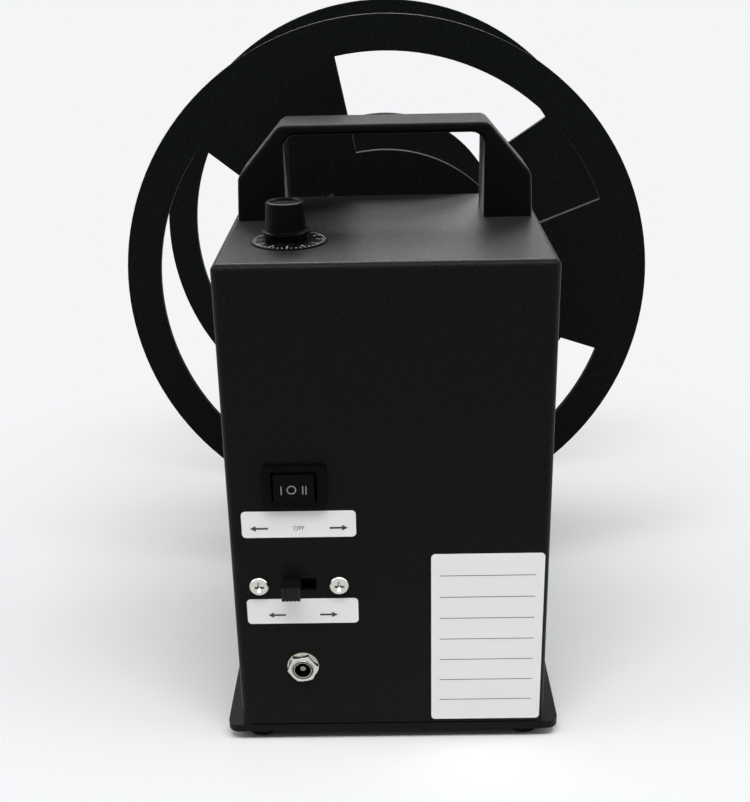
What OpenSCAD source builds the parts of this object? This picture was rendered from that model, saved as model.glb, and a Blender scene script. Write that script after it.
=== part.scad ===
// Bench label rewinder: a sheet-metal drive unit with a carrying handle, and a reel of two
// windowed discs on a spindle in front of it.
// Millimetres. +X right and +Y forward, both seen from the control panel, and +Z up.
// The origin lies on the standing surface, in the middle of the overall width and length.

/* [Cover] */
// Width of the sheet-metal cover
body_w = 110; // [106:1:130]
// Depth of the cover, from the control panel to its open front edge
body_d = 99.5; // [97:0.5:120]
// Height of the cover above the base plate
body_h = 173.5; // [172:0.5:195]
// Sheet thickness of the cover
cover_t = 1.2; // [0.8:0.1:1.6]
// Outside radius of the cover's bends
bend_r = 2.5; // [2:0.1:4]
// Width of the cover's fixing tabs, and their length inward
tab_w = 12; // [10:1:16]
// Distance of the rear tabs from the control panel
rear_tab_y = 20; // [12:1:30]
// Distance of the front tabs from the control panel
front_tab_y = 66; // [50:1:70]

/* [Base] */
// Width of the base plate
base_w = 121; // [112:1:150]
// Depth of the base plate
base_d = 205; // [190:1:230]
// Thickness of the base plate
base_t = 3; // [2:0.5:5]
// Corner radius of the base plate
base_r = 4; // [2:0.5:8]
// Diameter of a rubber foot
foot_d = 13; // [11:1:18]
// Height of a rubber foot
foot_h = 4; // [3.5:0.5:8]
// Distance of the feet from the base plate's sides
foot_inset = 12; // [9:0.5:16]
// Distance of the feet from the base plate's front and rear edges
foot_end_inset = 8.5; // [8.5:0.5:16]
// Height of the pillars under the control board
pillar_h = 6; // [5:0.5:9]

/* [Front plate] */
// Thickness of the front plate
front_t = 2; // [1.5:0.5:2.5]
// How far the front plate lies behind the front edge of the cover
front_inset = 1; // [0.5:0.5:2]
// Depth of the flanges bent back from the front plate
flange_d = 14; // [12:1:18]

/* [Reel] */
// Diameter of the two discs
disc_d = 210; // [200:1:230]
// Thickness of the discs
disc_t = 3; // [2:0.5:4]
// Radial width of the rim
rim_w = 13.4; // [10:0.1:18]
// Radius of the closed middle of a disc
hub_r = 54.4; // [52:0.2:60]
// Angle that each of the three spokes takes
spoke_angle = 40; // [30:1:60]
// Turn of the inner disc, to the middle of its first spoke
inner_turn = 1.5; // [0:0.5:119]
// Turn of the outer disc, to the middle of its first spoke
outer_turn = 14; // [0:0.5:119]
// Room between the cover and the inner disc
disc_gap = 6.5; // [6:0.5:10]
// Room for the roll between the discs
roll_space = 95.5; // [80:0.5:110]
// Height of the spindle above the base plate
spindle_rise = 135.5; // [134:0.5:140]
// Diameter of the spindle
spindle_d = 10; // [9:0.5:11]
// How far the spindle stands out of the lock collar
spindle_tail = 11.5; // [10:0.5:20]

/* [Core jaws] */
// Core diameter that the jaws are set to
core_d = 76; // [74:1:84]
// Thickness of the jaws' sheet
jaw_t = 2; // [1.5:0.5:2.5]
// Width of a jaw
jaw_w = 14; // [12:1:16]
// Length of a jaw's blade
jaw_l = 32; // [24:1:36]
// How far a jaw can be moved in
jaw_in = 17.5; // [12:0.5:17.5]
// How far a jaw can be moved out
jaw_out = 12; // [6:0.5:12]
// Diameter of a jaw's bolt
jaw_bolt_d = 4; // [3:0.5:4]
// Diameter of a thumb nut
thumb_d = 10; // [9:0.5:10.4]
// Height of a thumb nut
thumb_h = 6; // [5:0.5:9]

/* [Lock collar] */
// Diameter of the lock collar's boss
collar_d = 24; // [20:1:30]
// Length of the lock collar
collar_l = 17; // [15:1:24]
// Diameter of the lock collar's flange
collar_flange_d = 38; // [36:1:46]
// Thickness of the lock collar's flange
collar_flange_t = 3; // [2:0.5:4]
// Diameter of the lock screw's grip
grip_d = 14; // [11:1:16]
// Length of the lock screw's grip
grip_l = 11; // [8:1:16]
// Diameter of the lock screw's thread
lock_d = 5; // [4:0.5:6]

/* [Drive] */
// Module of the gears
gear_module = 1; // [0.9:0.05:1.05]
// Teeth of the motor's pinion
pinion_teeth = 18; // [16:1:20]
// Teeth of the gear on the spindle
gear_teeth = 54; // [48:1:56]
// Face width of the gears
gear_w = 8; // [6:1:10]
// Side play of a tooth
tooth_play = 0.12; // [0.08:0.02:0.2]
// Direction from the spindle to the motor, from +X
motor_angle = -55; // [-65:1:-45]
// Diameter of the gear head
gearhead_d = 37; // [32:1:38]
// Length of the gear head
gearhead_l = 24; // [18:1:28]
// Diameter of the motor
motor_d = 34; // [28:1:36]
// Length of the motor
motor_l = 25; // [18:1:27]
// Diameter of the motor's output shaft
motor_shaft_d = 6; // [5:0.5:7]
// Distance between the front plate and the inner plate
standoff_l = 35.5; // [33:0.5:38]
// Width over the flats of a standoff
standoff_flats = 8; // [7:0.5:9]
// Thickness of the inner plate
inner_t = 3; // [2:0.5:4]
// Width of the inner plate
inner_w = 92; // [88:1:98]
// Height of the inner plate
inner_h = 92; // [90:1:96]
// Outside diameter of the spindle's ball bearings
bearing_d = 26; // [24:1:28]
// Width of the ball bearings
bearing_w = 8; // [7:0.5:9]
// Wall of the bearing housings around the bearing
housing_wall = 3; // [2:0.5:4]
// Diameter of the flange of a bearing housing
housing_flange_d = 46; // [42:1:50]
// Thickness of the flange of a bearing housing
housing_flange_t = 4; // [3:0.5:5]

/* [Handle] */
// Width of the handle at its feet
handle_w = 105.6; // [98:0.2:106]
// Width of the handle's flat top
handle_top_w = 73; // [66:1:80]
// Depth of the handle
handle_d = 24; // [18:1:26]
// Height of the handle
handle_h = 33.4; // [28:0.2:40]
// Height of the handle's shoulders
shoulder_h = 15.4; // [12:0.2:20]
// Clear width under the handle
grip_gap_w = 70.4; // [64:0.2:71]
// Thickness of the handle's bar
bar_t = 3.5; // [2.5:0.5:6]
// Distance from the control panel to the handle
handle_y = 59.5; // [50:0.5:66]
// Rounding of the handle's edges
handle_r = 2; // [1:0.5:3]

/* [Speed dial] */
// Distance of the dial left of the middle
dial_x = 33; // [26:0.5:36]
// Distance of the dial from the control panel
dial_y = 29.7; // [24:0.1:34]
// Diameter of the scale under the knob
scale_d = 26; // [22:0.5:30]
// Thickness of the scale
scale_t = 0.5; // [0.3:0.1:1]
// Distance of the scale's middle right of the knob's axis
scale_shift = 1; // [0:0.1:2]
// Diameter of the knob at its top
knob_d = 12.6; // [12.2:0.1:15]
// Diameter of the knob above its ring
knob_base_d = 13.6; // [13.2:0.1:16]
// Diameter of the knob's ring
knob_ring_d = 16; // [15:0.5:18]
// Diameter of the knob's boss below its ring
knob_boss_d = 14.4; // [14.2:0.1:15]
// Height of the knob
knob_h = 12.6; // [11:0.2:18]
// Diameter of the potentiometer
pot_d = 17; // [14:1:22]
// Depth of the potentiometer
pot_h = 9; // [7:0.5:12]
// Diameter of the potentiometer's threaded neck
pot_neck_d = 7; // [6.6:0.2:8]
// Diameter of the potentiometer's shaft
pot_shaft_d = 6; // [5:0.2:6]

/* [Control panel] */
// Distance of the column of controls left of the middle
controls_x = 31.7; // [28:0.1:33]
// Height of the rocker switch above the base plate
rocker_rise = 97.4; // [92:0.2:104]
// Width of the rocker switch's rim
rocker_w = 21.4; // [20:0.2:23]
// Height of the rocker switch's rim
rocker_h = 15; // [14:0.2:17]
// Width of the rocker
paddle_w = 13.6; // [12:0.2:14.4]
// Height of the rocker
paddle_h = 10; // [8:0.2:10.6]
// Height of the slide switch above the base plate
selector_rise = 59; // [56:0.2:62]
// Distance between the slide switch's screws
selector_pitch = 27.8; // [26:0.2:29]
// Width of the slide switch's slot
slot_w = 12; // [11:0.2:13]
// Height of the slide switch's slot
slot_h = 4.8; // [4:0.2:5.6]
// Width of the slide switch's button
button_w = 6.4; // [5:0.2:6.4]
// Height of the slide switch's button
button_h = 5.2; // [4.8:0.2:7]
// How far the button stands out of the panel
button_out = 7; // [6:0.5:10]
// Travel of the button
button_travel = 5; // [4:0.2:5]
// Height of the power jack above the base plate
jack_rise = 25.8; // [22:0.2:32]
// Thread diameter of the power jack
jack_d = 7.8; // [7.4:0.1:8]
// Bore of the power jack
jack_bore_d = 5.8; // [5.6:0.1:6.2]
// Width over the flats of the power jack's nut
jack_nut_flats = 9.6; // [9.4:0.2:11]
// Width of the strip labels
strip_w = 39; // [34:0.5:42]
// Height of the strip labels
strip_h = 10; // [8:0.5:11]
// Height of the rocker's strip label above the base plate
rocker_strip_rise = 82.6; // [80:0.2:84]
// Height of the selector's strip label above the base plate
selector_strip_rise = 48.3; // [46:0.2:50]
// Width of the rating label
rating_w = 39.2; // [30:0.2:42]
// Height of the rating label
rating_h = 68.5; // [50:0.5:72]
// Distance of the rating label's middle right of the middle
rating_x = 33.7; // [32:0.1:34]
// Height of the rating label's middle above the base plate
rating_rise = 36; // [36:0.5:60]

/* [Tension arm] */
// Distance of the tension arm's pivot left of the middle
arm_x = 12; // [8:0.5:16]
// Height of the tension arm's pivot above the base plate
arm_rise = 13; // [12:0.5:16]
// Length of the tension arm between its centres
arm_l = 48; // [40:1:50]
// Width of the tension arm
arm_w = 12; // [10:0.5:14]
// Thickness of the tension arm
arm_t = 3; // [2:0.5:3.5]
// Diameter of the tension arm's shaft
arm_shaft_d = 6; // [5:0.5:7]
// Diameter of the roller
roller_d = 10; // [8:0.5:12]
// Diameter of the roller's pin
roller_pin_d = 5; // [4:0.5:6]
// Length of the roller
roller_l = 95; // [80:1:98]

/* [Fits] */
// Radial play of a turning or sliding fit
running_fit = 0.05; // [0.02:0.01:0.09]
// Radial play of a fixed pin or screw in its hole
hole_play = 0.1; // [0.05:0.05:0.2]
// Play between parts that move past each other
side_play = 0.4; // [0.3:0.1:0.6]

/* [Hidden] */
$fn = 64;

// Places along Y and Z that several parts share
base_top = foot_h + base_t;
body_top = base_top + body_h;
overall_d = button_out + body_d + disc_gap + 2 * disc_t + roll_space + collar_l + spindle_tail;
rear_y = button_out - overall_d / 2;
front_y = rear_y + body_d;
plate_y = front_y - front_inset - front_t;
plate_front_y = plate_y + front_t;
inner_front_y = plate_y - standoff_l;
inner_y = inner_front_y - inner_t;
inner_disc_y = front_y + disc_gap;
inner_face_y = inner_disc_y + disc_t;
outer_disc_y = inner_face_y + roll_space;
collar_y = outer_disc_y + disc_t;
spindle_end_y = collar_y + collar_l + spindle_tail;
spindle_z = base_top + spindle_rise;
side_in = body_w / 2 - cover_t;

// Seam between the control panel and the base plate
seam_h = 0.5;
seam_inset = bend_r + 0.5;

// Feet: web under the screw head, play round the head and taper of the side
foot_web = 1.2;
foot_head_play = 0.6;
foot_taper = 0.8;

// Screws: shank and head sizes
m3_d = 3;
m3_head_d = 5.6;
m3_head_h = 1.8;
m4_d = 4;
m4_head_d = 7;
m4_head_h = 2.4;

// Bearing housings: a lip holds the bearing, a nose passes through the plate
lip_t = 1.5;
lip_w = 2;
nose_proud = 1;
front_nose_l = front_t + nose_proud;
housing_d = bearing_d + 2 * housing_wall;
housing_screw_r = (housing_d + housing_flange_d) / 4;
pocket_l = lip_t + bearing_w;
front_bearing_y = plate_front_y + nose_proud - pocket_l;
rear_bearing_y = inner_y + lip_t;

// Gears and motor
gear_back = 11;
gear_web = 7;
axle_distance = gear_module * (pinion_teeth + gear_teeth) / 2;
motor_x = axle_distance * cos(motor_angle);
motor_z = spindle_z + axle_distance * sin(motor_angle);
gear_y = inner_front_y + gear_back;
motor_boss_d = 2 * motor_shaft_d;
motor_screw_r = 14;
motor_shaft_in = 8;
motor_cap_d = 12;
motor_cap_l = 2;
motor_tag_w = 3;
gear_hub_d = spindle_d + 8;
hub_end_play = 0.5;

// Inner plate and its standoffs
inner_z = spindle_z - 14.4;
standoff_inset = 7;
standoff_x = inner_w / 2 - standoff_inset;
standoff_z = inner_h / 2 - standoff_inset;
standoff_bore_l = 6;

// Reel
jaw_count = 3;
jaw_foot_l = 12.5;
jaw_bolt_inset = 7.3;
jaw_bolt_r = core_d / 2 - jaw_bolt_inset;
bolt_head_d = jaw_bolt_d + 3;
bolt_head_t = 2;
thumb_step = 1.5;
knurl_count = 12;
knurl_d = 1.6;
knurl_out = 0.2;
shoulder_d = spindle_d + 6;
shoulder_l = 3;
lock_nut_d = spindle_d + 5;
lock_nut_l = 3;
collar_screw_r = (collar_d + collar_flange_d) / 4;
lock_angle = outer_turn + 180 / jaw_count;
lock_y = collar_y + collar_flange_t + side_play + grip_d / 2;
end_chamfer = 1;
grip_clear = 2;
grip_flutes = 8;
grip_flute_d = 3;
grip_flute_out = 0.6;
nut_notch_w = 2.5;
nut_notch_depth = 0.5;

// Handle
handle_screw_x = (handle_w + grip_gap_w) / 4;
handle_mid_y = rear_y + handle_y + handle_d / 2;
handle_wall = 3;
handle_boss_d = 9;
leg_taper = 0.9;
shoulder_r = 4;
corner_steps = 6;

// Speed dial
dial_nut_flats = pot_neck_d + 3;
dial_nut_h = 1.4;
knob_bottom = body_top + scale_t + side_play;
knob_recess_d = dial_nut_flats / cos(30) + 2 * side_play;
knob_recess_h = dial_nut_h + side_play;
knob_ring_z = 2.1;
knob_ring_t = 1;
knob_edge = 0.3;
knob_roof = 2;
knob_rim_w = 1.6;
dish_depth = 0.8;
dish_slope = 0.4;
flute_count = 30;
flute_d = 0.8;
flute_out = 0.15;
flute_start = 0.6;
pot_floor = 2;
pot_tag_pitch = 5;
pot_tag_w = 2;
pot_tag_l = 9;
pot_tag_in = 4;

// Rocker switch
rocker_z = base_top + rocker_rise;
rocker_rim_t = 2;
rocker_body_d = 16;
rocker_body_w = rocker_w - 2;
rocker_body_h = rocker_h - 2;
rocker_pivot_y = rear_y + 2;
paddle_play = 0.8;
paddle_out = 3.6;
paddle_dip = 0.7;
paddle_depth = 5;
rocker_pin_d = 2.4;
blade_t = 0.8;
rocker_r = 1;
rocker_tag_pitch = 5.5;
rocker_tag_w = 4.8;
rocker_tag_l = 7;
paddle_back_w = 4;
paddle_back_in = 3;
pin_in = 2;

// Slide switch
selector_z = base_top + selector_rise;
selector_plate_t = 0.8;
selector_plate_h = 11;
selector_body_h = 9;
selector_body_d = 8;
selector_plate_r = 1.5;
selector_end_w = 7;
selector_body_in = 8;
selector_tag_pitch = 4.7;
selector_tag_w = 2;
selector_tag_l = 5;
dome_h = 2;
rib_count = 5;
rib_groove_d = 0.7;
button_x = -controls_x - button_travel / 2;
stem_h = slot_h - 2 * side_play;
stem_w = button_w - 1;
stem_in = 3;

// Power jack
jack_z = base_top + jack_rise;
jack_nut_t = 2.4;
jack_washer_d = 11.2;
jack_washer_t = 0.7;
jack_out = 3.4;
jack_in = 11;
jack_flange_d = jack_d + 3;
jack_flange_l = 9;
jack_bore_l = 9;
jack_pin_d = 2.1;
jack_nut_turn = 8;
jack_nut_chamfer = 0.5;
jack_lug_w = 2;
jack_lug_l = 6;
jack_lug_z = 2;

// Labels
label_t = 0.15;
label_r = 1.5;
strip_shift = 0.8;

// Control board
board_w = 66;
board_d = 46;
board_t = 1.6;
board_mid_y = rear_y + 48;
capacitor_d = 10;
capacitor_h = 16;
capacitor_x = [-14, -2];
capacitor_y = 8;
fin_count = 7;
fin_pitch = 3;
fin_l = 10;
sink_back_t = 3;
sink_h = 16;
sink_place = [12, 6, 0];
ways = 6;
way_pitch = 6;
way_d = 3.6;
block_d = 9;
block_h = 10;
block_place = [-18, -20, 0];
relay_size = [16, 11, 12];
relay_place = [-26, -8, 0];
chip_size = [10, 5, 2];
chip_place = [-4, -6, 0];
board_z = base_top + pillar_h;
pillar_d = 6;
pillar_x = board_w / 2 - 4;
pillar_y = board_d / 2 - 4;

// Tension arm
arm_z = base_top + arm_rise;
arm_gap = 1.5;
arm_y = plate_front_y + arm_gap;
bush_flange_t = arm_gap - side_play;
bush_flange_w = 2;
bush_d = arm_shaft_d + 4;
bush_l = 7;
arm_shaft_in = 18;
stop_d = 5;
stop_x = -arm_x - arm_w;
stop_l = 4;
flag_t = 1.5;
flag_y = plate_y - 12;
flag_l = 19;
flag_w = 6;
flag_hub_d = arm_shaft_d + 4;
flag_angle = 50;
sensor_angle = 36;
sensor_l = 13;
sensor_in = 12;
sensor_w = 14;
sensor_slot = 4;
sensor_wall = 3;
flag_reach_play = 1.5;
pin_head_w = 1.5;
pin_head_t = 2;

// Directions of screws: clear of the motor, of the bearing housings and of the slots in the disc
function housing_screw_angle(i) = motor_angle + 180 + 120 * i;
function motor_screw_angle(i) = motor_angle + 45 + 90 * i;
function collar_screw_angle(i) = lock_angle + 35 + 120 * i;

// Extrudes an outline drawn in X and Z, from y over a length
module along_y(y, l) {
    translate([0, y + l, 0]) rotate([90, 0, 0]) linear_extrude(l) children();
}

// Extrudes an outline drawn in Y and Z, centred on the middle plane, over a width
module across_x(w) {
    translate([-w / 2, 0, 0]) rotate([90, 0, 90]) linear_extrude(w) children();
}

// Lays a piece drawn along +Z along +Y, from a point
module forward(x, y, z) {
    translate([x, y, z]) rotate([-90, 0, 0]) children();
}

// Lays a piece drawn along +Z along -Y, from a point
module backward(x, y, z) {
    translate([x, y, z]) rotate([90, 0, 0]) children();
}

// Turns pieces drawn on the right of the spindle, about the spindle
module about_spindle(angle) {
    translate([0, 0, spindle_z]) rotate([0, -angle, 0]) children();
}

// Outline: rectangle with rounded corners, centred
module rounded(w, h, r) {
    square([w - 2 * r, h], center = true);
    square([w, h - 2 * r], center = true);
    for (x = [-1, 1], y = [-1, 1]) translate([x * (w / 2 - r), y * (h / 2 - r)]) circle(r);
}

// Outline: regular hexagon over its flats
module hexagon(flats) {
    circle(d = flats / cos(30), $fn = 6);
}

// Outline: bar with round ends, from the origin along +X
module round_bar(l, w) {
    translate([0, -w / 2]) square([l, w]);
    circle(d = w);
    translate([l, 0]) circle(d = w);
}

// Ring from z = 0
module ring(d, bore, h) {
    rotate_extrude() translate([bore / 2, 0]) square([(d - bore) / 2, h]);
}

// Screw with its head above z = 0 and its shank below
module screw(d, l, head_d, head_h) {
    cylinder(d = head_d, h = head_h);
    translate([0, 0, -l]) cylinder(d = d, h = l + head_h / 2);
}

// Places for pieces that repeat
module at_feet() {
    for (x = [-1, 1], y = [rear_y + foot_end_inset, rear_y + base_d - foot_end_inset])
        translate([x * (base_w / 2 - foot_inset), y, 0]) children();
}

module at_tabs() {
    for (x = [-1, 1], y = [rear_tab_y, front_tab_y])
        translate([x * (side_in - tab_w / 2), rear_y + y, 0]) children();
}

module at_front_flange() {
    for (x = [-1, 1]) translate([x * body_w / 4, plate_y - flange_d / 2, 0]) children();
}

module at_standoffs() {
    for (x = [-1, 1], z = [-1, 1]) translate([x * standoff_x, inner_z + z * standoff_z]) children();
}

module at_pillars() {
    for (x = [-1, 1], y = [-1, 1])
        translate([x * pillar_x, board_mid_y + y * pillar_y, 0]) children();
}

module at_housing_screws() {
    for (i = [0 : 2])
        translate([0, spindle_z]) rotate(housing_screw_angle(i)) translate([housing_screw_r, 0]) children();
}

module at_motor_screws() {
    for (i = [0 : 3])
        translate([motor_x, motor_z]) rotate(motor_screw_angle(i)) translate([motor_screw_r, 0]) children();
}

module at_selector_screws() {
    for (x = [-1, 1]) translate([x * selector_pitch / 2 - controls_x, selector_z]) children();
}

module at_side_screws() {
    for (z = [base_top + body_h / 4, base_top + body_h * 3 / 4])
        translate([0, plate_y - flange_d / 2, z]) children();
}

module at_collar_screws() {
    for (i = [0 : 2])
        rotate(collar_screw_angle(i)) translate([collar_screw_r, 0]) children();
}

// Base and feet
module base_plate() {
    color("#1c1d1d") difference() {
        union() {
            translate([0, rear_y + base_d / 2, foot_h]) linear_extrude(base_t) rounded(base_w, base_d, base_r);
            at_pillars() translate([0, 0, base_top]) cylinder(d = pillar_d, h = pillar_h);
        }
        at_feet() cylinder(d = m4_d + 2 * hole_play, h = base_top);
        at_tabs() cylinder(d = m3_d + 2 * hole_play, h = base_top);
        at_front_flange() cylinder(d = m3_d + 2 * hole_play, h = base_top);
        at_pillars() cylinder(d = m3_d + 2 * hole_play, h = board_z + 1);
    }
}

module rubber_feet() {
    recess_h = foot_h - foot_web;
    recess_r = m4_head_d / 2 + foot_head_play;
    color("#161616") at_feet() rotate_extrude() polygon([
        [m4_d / 2 + hole_play, recess_h], [recess_r, recess_h], [recess_r, 0],
        [foot_d / 2 - foot_taper, 0], [foot_d / 2, foot_h], [m4_d / 2 + hole_play, foot_h]
    ]);
}

module foot_screws() {
    color("#c9cacb") at_feet() translate([0, 0, foot_h - foot_web]) mirror([0, 0, 1])
        screw(m4_d, base_t + foot_web, m4_head_d, m4_head_h);
}

module base_screws() {
    color("#c9cacb") {
        at_tabs() translate([0, 0, foot_h]) mirror([0, 0, 1])
            screw(m3_d, base_t + cover_t, m3_head_d, m3_head_h);
        at_front_flange() translate([0, 0, foot_h]) mirror([0, 0, 1])
            screw(m3_d, base_t + front_t, m3_head_d, m3_head_h);
    }
}

// Cover: a block rounded along its rear and top edges, hollowed from below and in front
module cover_block(w, d, h, r) {
    intersection() {
        linear_extrude(h) translate([0, d / 2 + r]) rounded(w, d + 2 * r, r);
        along_y(0, d) translate([0, h / 2 - r]) rounded(w, h + 2 * r, r);
        across_x(w) translate([d / 2 + r, h / 2 - r]) rounded(d + 2 * r, h + 2 * r, r);
    }
}

module rear_cover() {
    color("#1b1c1c") difference() {
        union() {
            translate([0, rear_y, base_top]) difference() {
                cover_block(body_w, body_d, body_h, bend_r);
                translate([0, cover_t, -bend_r])
                    cover_block(2 * side_in, body_d + bend_r, body_h - cover_t + bend_r, bend_r - cover_t);
            }
            at_tabs() translate([-tab_w / 2 - cover_t / 2, -tab_w / 2, base_top])
                cube([tab_w + cover_t, tab_w, cover_t]);
        }
        at_tabs() cylinder(d = m3_d + 2 * hole_play, h = base_top + cover_t + 1);
        along_y(rear_y - 1, cover_t + 2) panel_holes();
        translate([seam_inset - body_w / 2, rear_y - 1, base_top - 1])
            cube([body_w - 2 * seam_inset, cover_t + 2, seam_h + 1]);
        translate([-dial_x, rear_y + dial_y, body_top - cover_t - 1])
            cylinder(d = pot_neck_d + 2 * hole_play, h = cover_t + 2);
        for (x = [-1, 1]) translate([x * handle_screw_x, handle_mid_y, body_top - cover_t - 1])
            cylinder(d = m4_d + 2 * hole_play, h = cover_t + 2);
        at_side_screws() rotate([0, 90, 0]) cylinder(d = m3_d + 2 * hole_play, h = body_w + 2, center = true);
    }
}

module panel_holes() {
    translate([-controls_x, rocker_z])
        square([rocker_body_w + 2 * hole_play, rocker_body_h + 2 * hole_play], center = true);
    translate([-controls_x, selector_z]) square([slot_w, slot_h], center = true);
    at_selector_screws() circle(d = m3_d + 2 * hole_play);
    translate([-controls_x, jack_z]) circle(d = jack_d + 2 * hole_play);
}

module side_screws() {
    color("#2a2b2b") at_side_screws() for (x = [-1, 1]) translate([x * body_w / 2, 0, 0]) rotate([0, x * 90, 0])
        screw(m3_d, cover_t + front_t + hole_play, m3_head_d, m3_head_h);
}

// Front plate, with flanges bent back at its sides and foot, and the stop of the tension arm
module front_plate() {
    plate_w = 2 * (side_in - hole_play);
    plate_h = body_h - cover_t - hole_play;
    color("#1e1f1f") difference() {
        union() {
            along_y(plate_y, front_t) translate([0, base_top]) {
                translate([0, plate_h / 2]) rounded(plate_w, plate_h, bend_r);
                translate([-plate_w / 2, 0]) square([plate_w, plate_h / 2]);
            }
            for (x = [-1, 1])
                translate([x * (plate_w - front_t) / 2 - front_t / 2, plate_y - flange_d, base_top + tab_w])
                    cube([front_t, flange_d + front_t / 2, plate_h - 2 * tab_w]);
            translate([-plate_w / 2 + tab_w, plate_y - flange_d, base_top])
                cube([plate_w - 2 * tab_w, flange_d + front_t / 2, front_t]);
            forward(stop_x, plate_front_y - front_t / 2, arm_z - arm_w / 2 - side_play - stop_d / 2)
                cylinder(d = stop_d, h = stop_l + front_t / 2);
        }
        along_y(plate_y - 1, front_t + 2) {
            translate([0, spindle_z]) circle(d = housing_d + 2 * hole_play);
            at_housing_screws() circle(d = m3_d + 2 * hole_play);
            at_standoffs() circle(d = m4_d + 2 * hole_play);
            translate([-arm_x, arm_z]) circle(d = bush_d + 2 * hole_play);
        }
        at_front_flange() cylinder(d = m3_d + 2 * hole_play, h = base_top + front_t + 1);
        at_side_screws() rotate([0, 90, 0]) cylinder(d = m3_d + 2 * hole_play, h = body_w, center = true);
    }
}

// Carrying handle: a bridge with sloping shoulders and hollow legs
function turn_between(a, b) = (b - a + 540) % 360 - 180;

function rounded_corner(back, corner, ahead, r) = let (
    u = (back - corner) / norm(back - corner),
    v = (ahead - corner) / norm(ahead - corner),
    half = acos(u * v) / 2,
    centre = corner + (u + v) / norm(u + v) * r / sin(half),
    first = corner + u * r / tan(half) - centre,
    last = corner + v * r / tan(half) - centre,
    start = atan2(first.y, first.x),
    turn = turn_between(start, atan2(last.y, last.x))
) [for (i = [0 : corner_steps]) let (a = start + turn * i / corner_steps) centre + r * [cos(a), sin(a)]];

module handle_outline() {
    foot = [-handle_w / 2, 0];
    shoulder = [-handle_w / 2 + leg_taper, shoulder_h];
    top = [-handle_top_w / 2, handle_h];
    left = concat(
        [foot],
        rounded_corner(foot, shoulder, top, shoulder_r),
        rounded_corner(shoulder, top, [0, handle_h], shoulder_r)
    );
    right = [for (i = [len(left) - 1 : -1 : 0]) [-left[i].x, left[i].y]];
    polygon(concat(left, right));
}

module carry_handle() {
    leg_w = (handle_w - grip_gap_w) / 2;
    gap_h = handle_h - bar_t;
    color("#191a1a") translate([0, rear_y + handle_y, body_top]) difference() {
        intersection() {
            along_y(0, handle_d) handle_outline();
            across_x(handle_w) translate([handle_d / 2, handle_h / 2 - handle_r])
                rounded(handle_d, handle_h + 2 * handle_r, handle_r);
        }
        along_y(-1, handle_d + 2) translate([0, gap_h / 2 - handle_r])
            rounded(grip_gap_w, gap_h + 2 * handle_r, handle_r);
        for (x = [-1, 1]) translate([x * handle_screw_x, handle_d / 2, 0]) difference() {
            translate([0, 0, (shoulder_h - handle_wall) / 2]) cube([
                leg_w - 2 * handle_wall, handle_d - 2 * handle_wall, shoulder_h - handle_wall
            ], center = true);
            cylinder(d = handle_boss_d, h = shoulder_h);
        }
        for (x = [-1, 1]) translate([x * handle_screw_x, handle_d / 2, -1])
            cylinder(d = m4_d + 2 * hole_play, h = shoulder_h - handle_wall + 1);
    }
}

module handle_screws() {
    screw_l = cover_t + shoulder_h - handle_wall - m4_d / 2;
    color("#c9cacb") for (x = [-1, 1]) translate([x * handle_screw_x, handle_mid_y, body_top - cover_t])
        mirror([0, 0, 1]) screw(m4_d, screw_l, m4_head_d, m4_head_h);
}

// Bearings of the spindle
module bearing_housing(nose_l) {
    lip_r = bearing_d / 2 - lip_w;
    pocket_r = bearing_d / 2 + running_fit;
    rotate_extrude() polygon([
        [lip_r, 0], [housing_d / 2, 0], [housing_d / 2, nose_l], [housing_flange_d / 2, nose_l],
        [housing_flange_d / 2, nose_l + housing_flange_t], [housing_d / 2, nose_l + housing_flange_t],
        [housing_d / 2, pocket_l], [pocket_r, pocket_l], [pocket_r, lip_t], [lip_r, lip_t]
    ]);
}

module bearing_housings() {
    color("#a8abad") difference() {
        union() {
            backward(0, plate_front_y + nose_proud, spindle_z) bearing_housing(front_nose_l);
            forward(0, inner_y, spindle_z) bearing_housing(inner_t);
        }
        along_y(inner_front_y - 1, standoff_l + 2) at_housing_screws() circle(d = m3_d + 2 * hole_play);
    }
}

module housing_screws() {
    screw_in = housing_flange_t;
    color("#c9cacb") for (i = [0 : 2]) {
        angle = housing_screw_angle(i);
        x = housing_screw_r * cos(angle);
        z = spindle_z + housing_screw_r * sin(angle);
        forward(x, plate_front_y, z) screw(m3_d, front_t + screw_in, m3_head_d, m3_head_h);
        backward(x, inner_y, z) screw(m3_d, inner_t + screw_in, m3_head_d, m3_head_h);
    }
}

// Ball bearing, closed by its shields, which lie a little below its rings
module ball_bearing() {
    bore_r = spindle_d / 2 + running_fit;
    ring_w = (bearing_d / 2 - bore_r) / 4;
    shield = 0.6;
    rotate_extrude() difference() {
        translate([bore_r, 0]) square([bearing_d / 2 - bore_r, bearing_w]);
        for (z = [-shield, bearing_w - shield]) translate([bore_r + ring_w, z])
            square([2 * ring_w, 2 * shield]);
    }
}

module spindle_bearings() {
    color("#d2d4d6") {
        forward(0, front_bearing_y, spindle_z) ball_bearing();
        forward(0, rear_bearing_y, spindle_z) ball_bearing();
    }
}

// Drive: inner plate on standoffs, with the geared motor behind it
module inner_plate() {
    color("#b9bcbe") along_y(inner_y, inner_t) difference() {
        translate([0, inner_z]) rounded(inner_w, inner_h, base_r);
        translate([0, spindle_z]) circle(d = housing_d + 2 * hole_play);
        translate([motor_x, motor_z]) circle(d = motor_boss_d + 2 * hole_play);
        at_housing_screws() circle(d = m3_d + 2 * hole_play);
        at_motor_screws() circle(d = m3_d + 2 * hole_play);
        at_standoffs() circle(d = m4_d + 2 * hole_play);
    }
}

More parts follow.
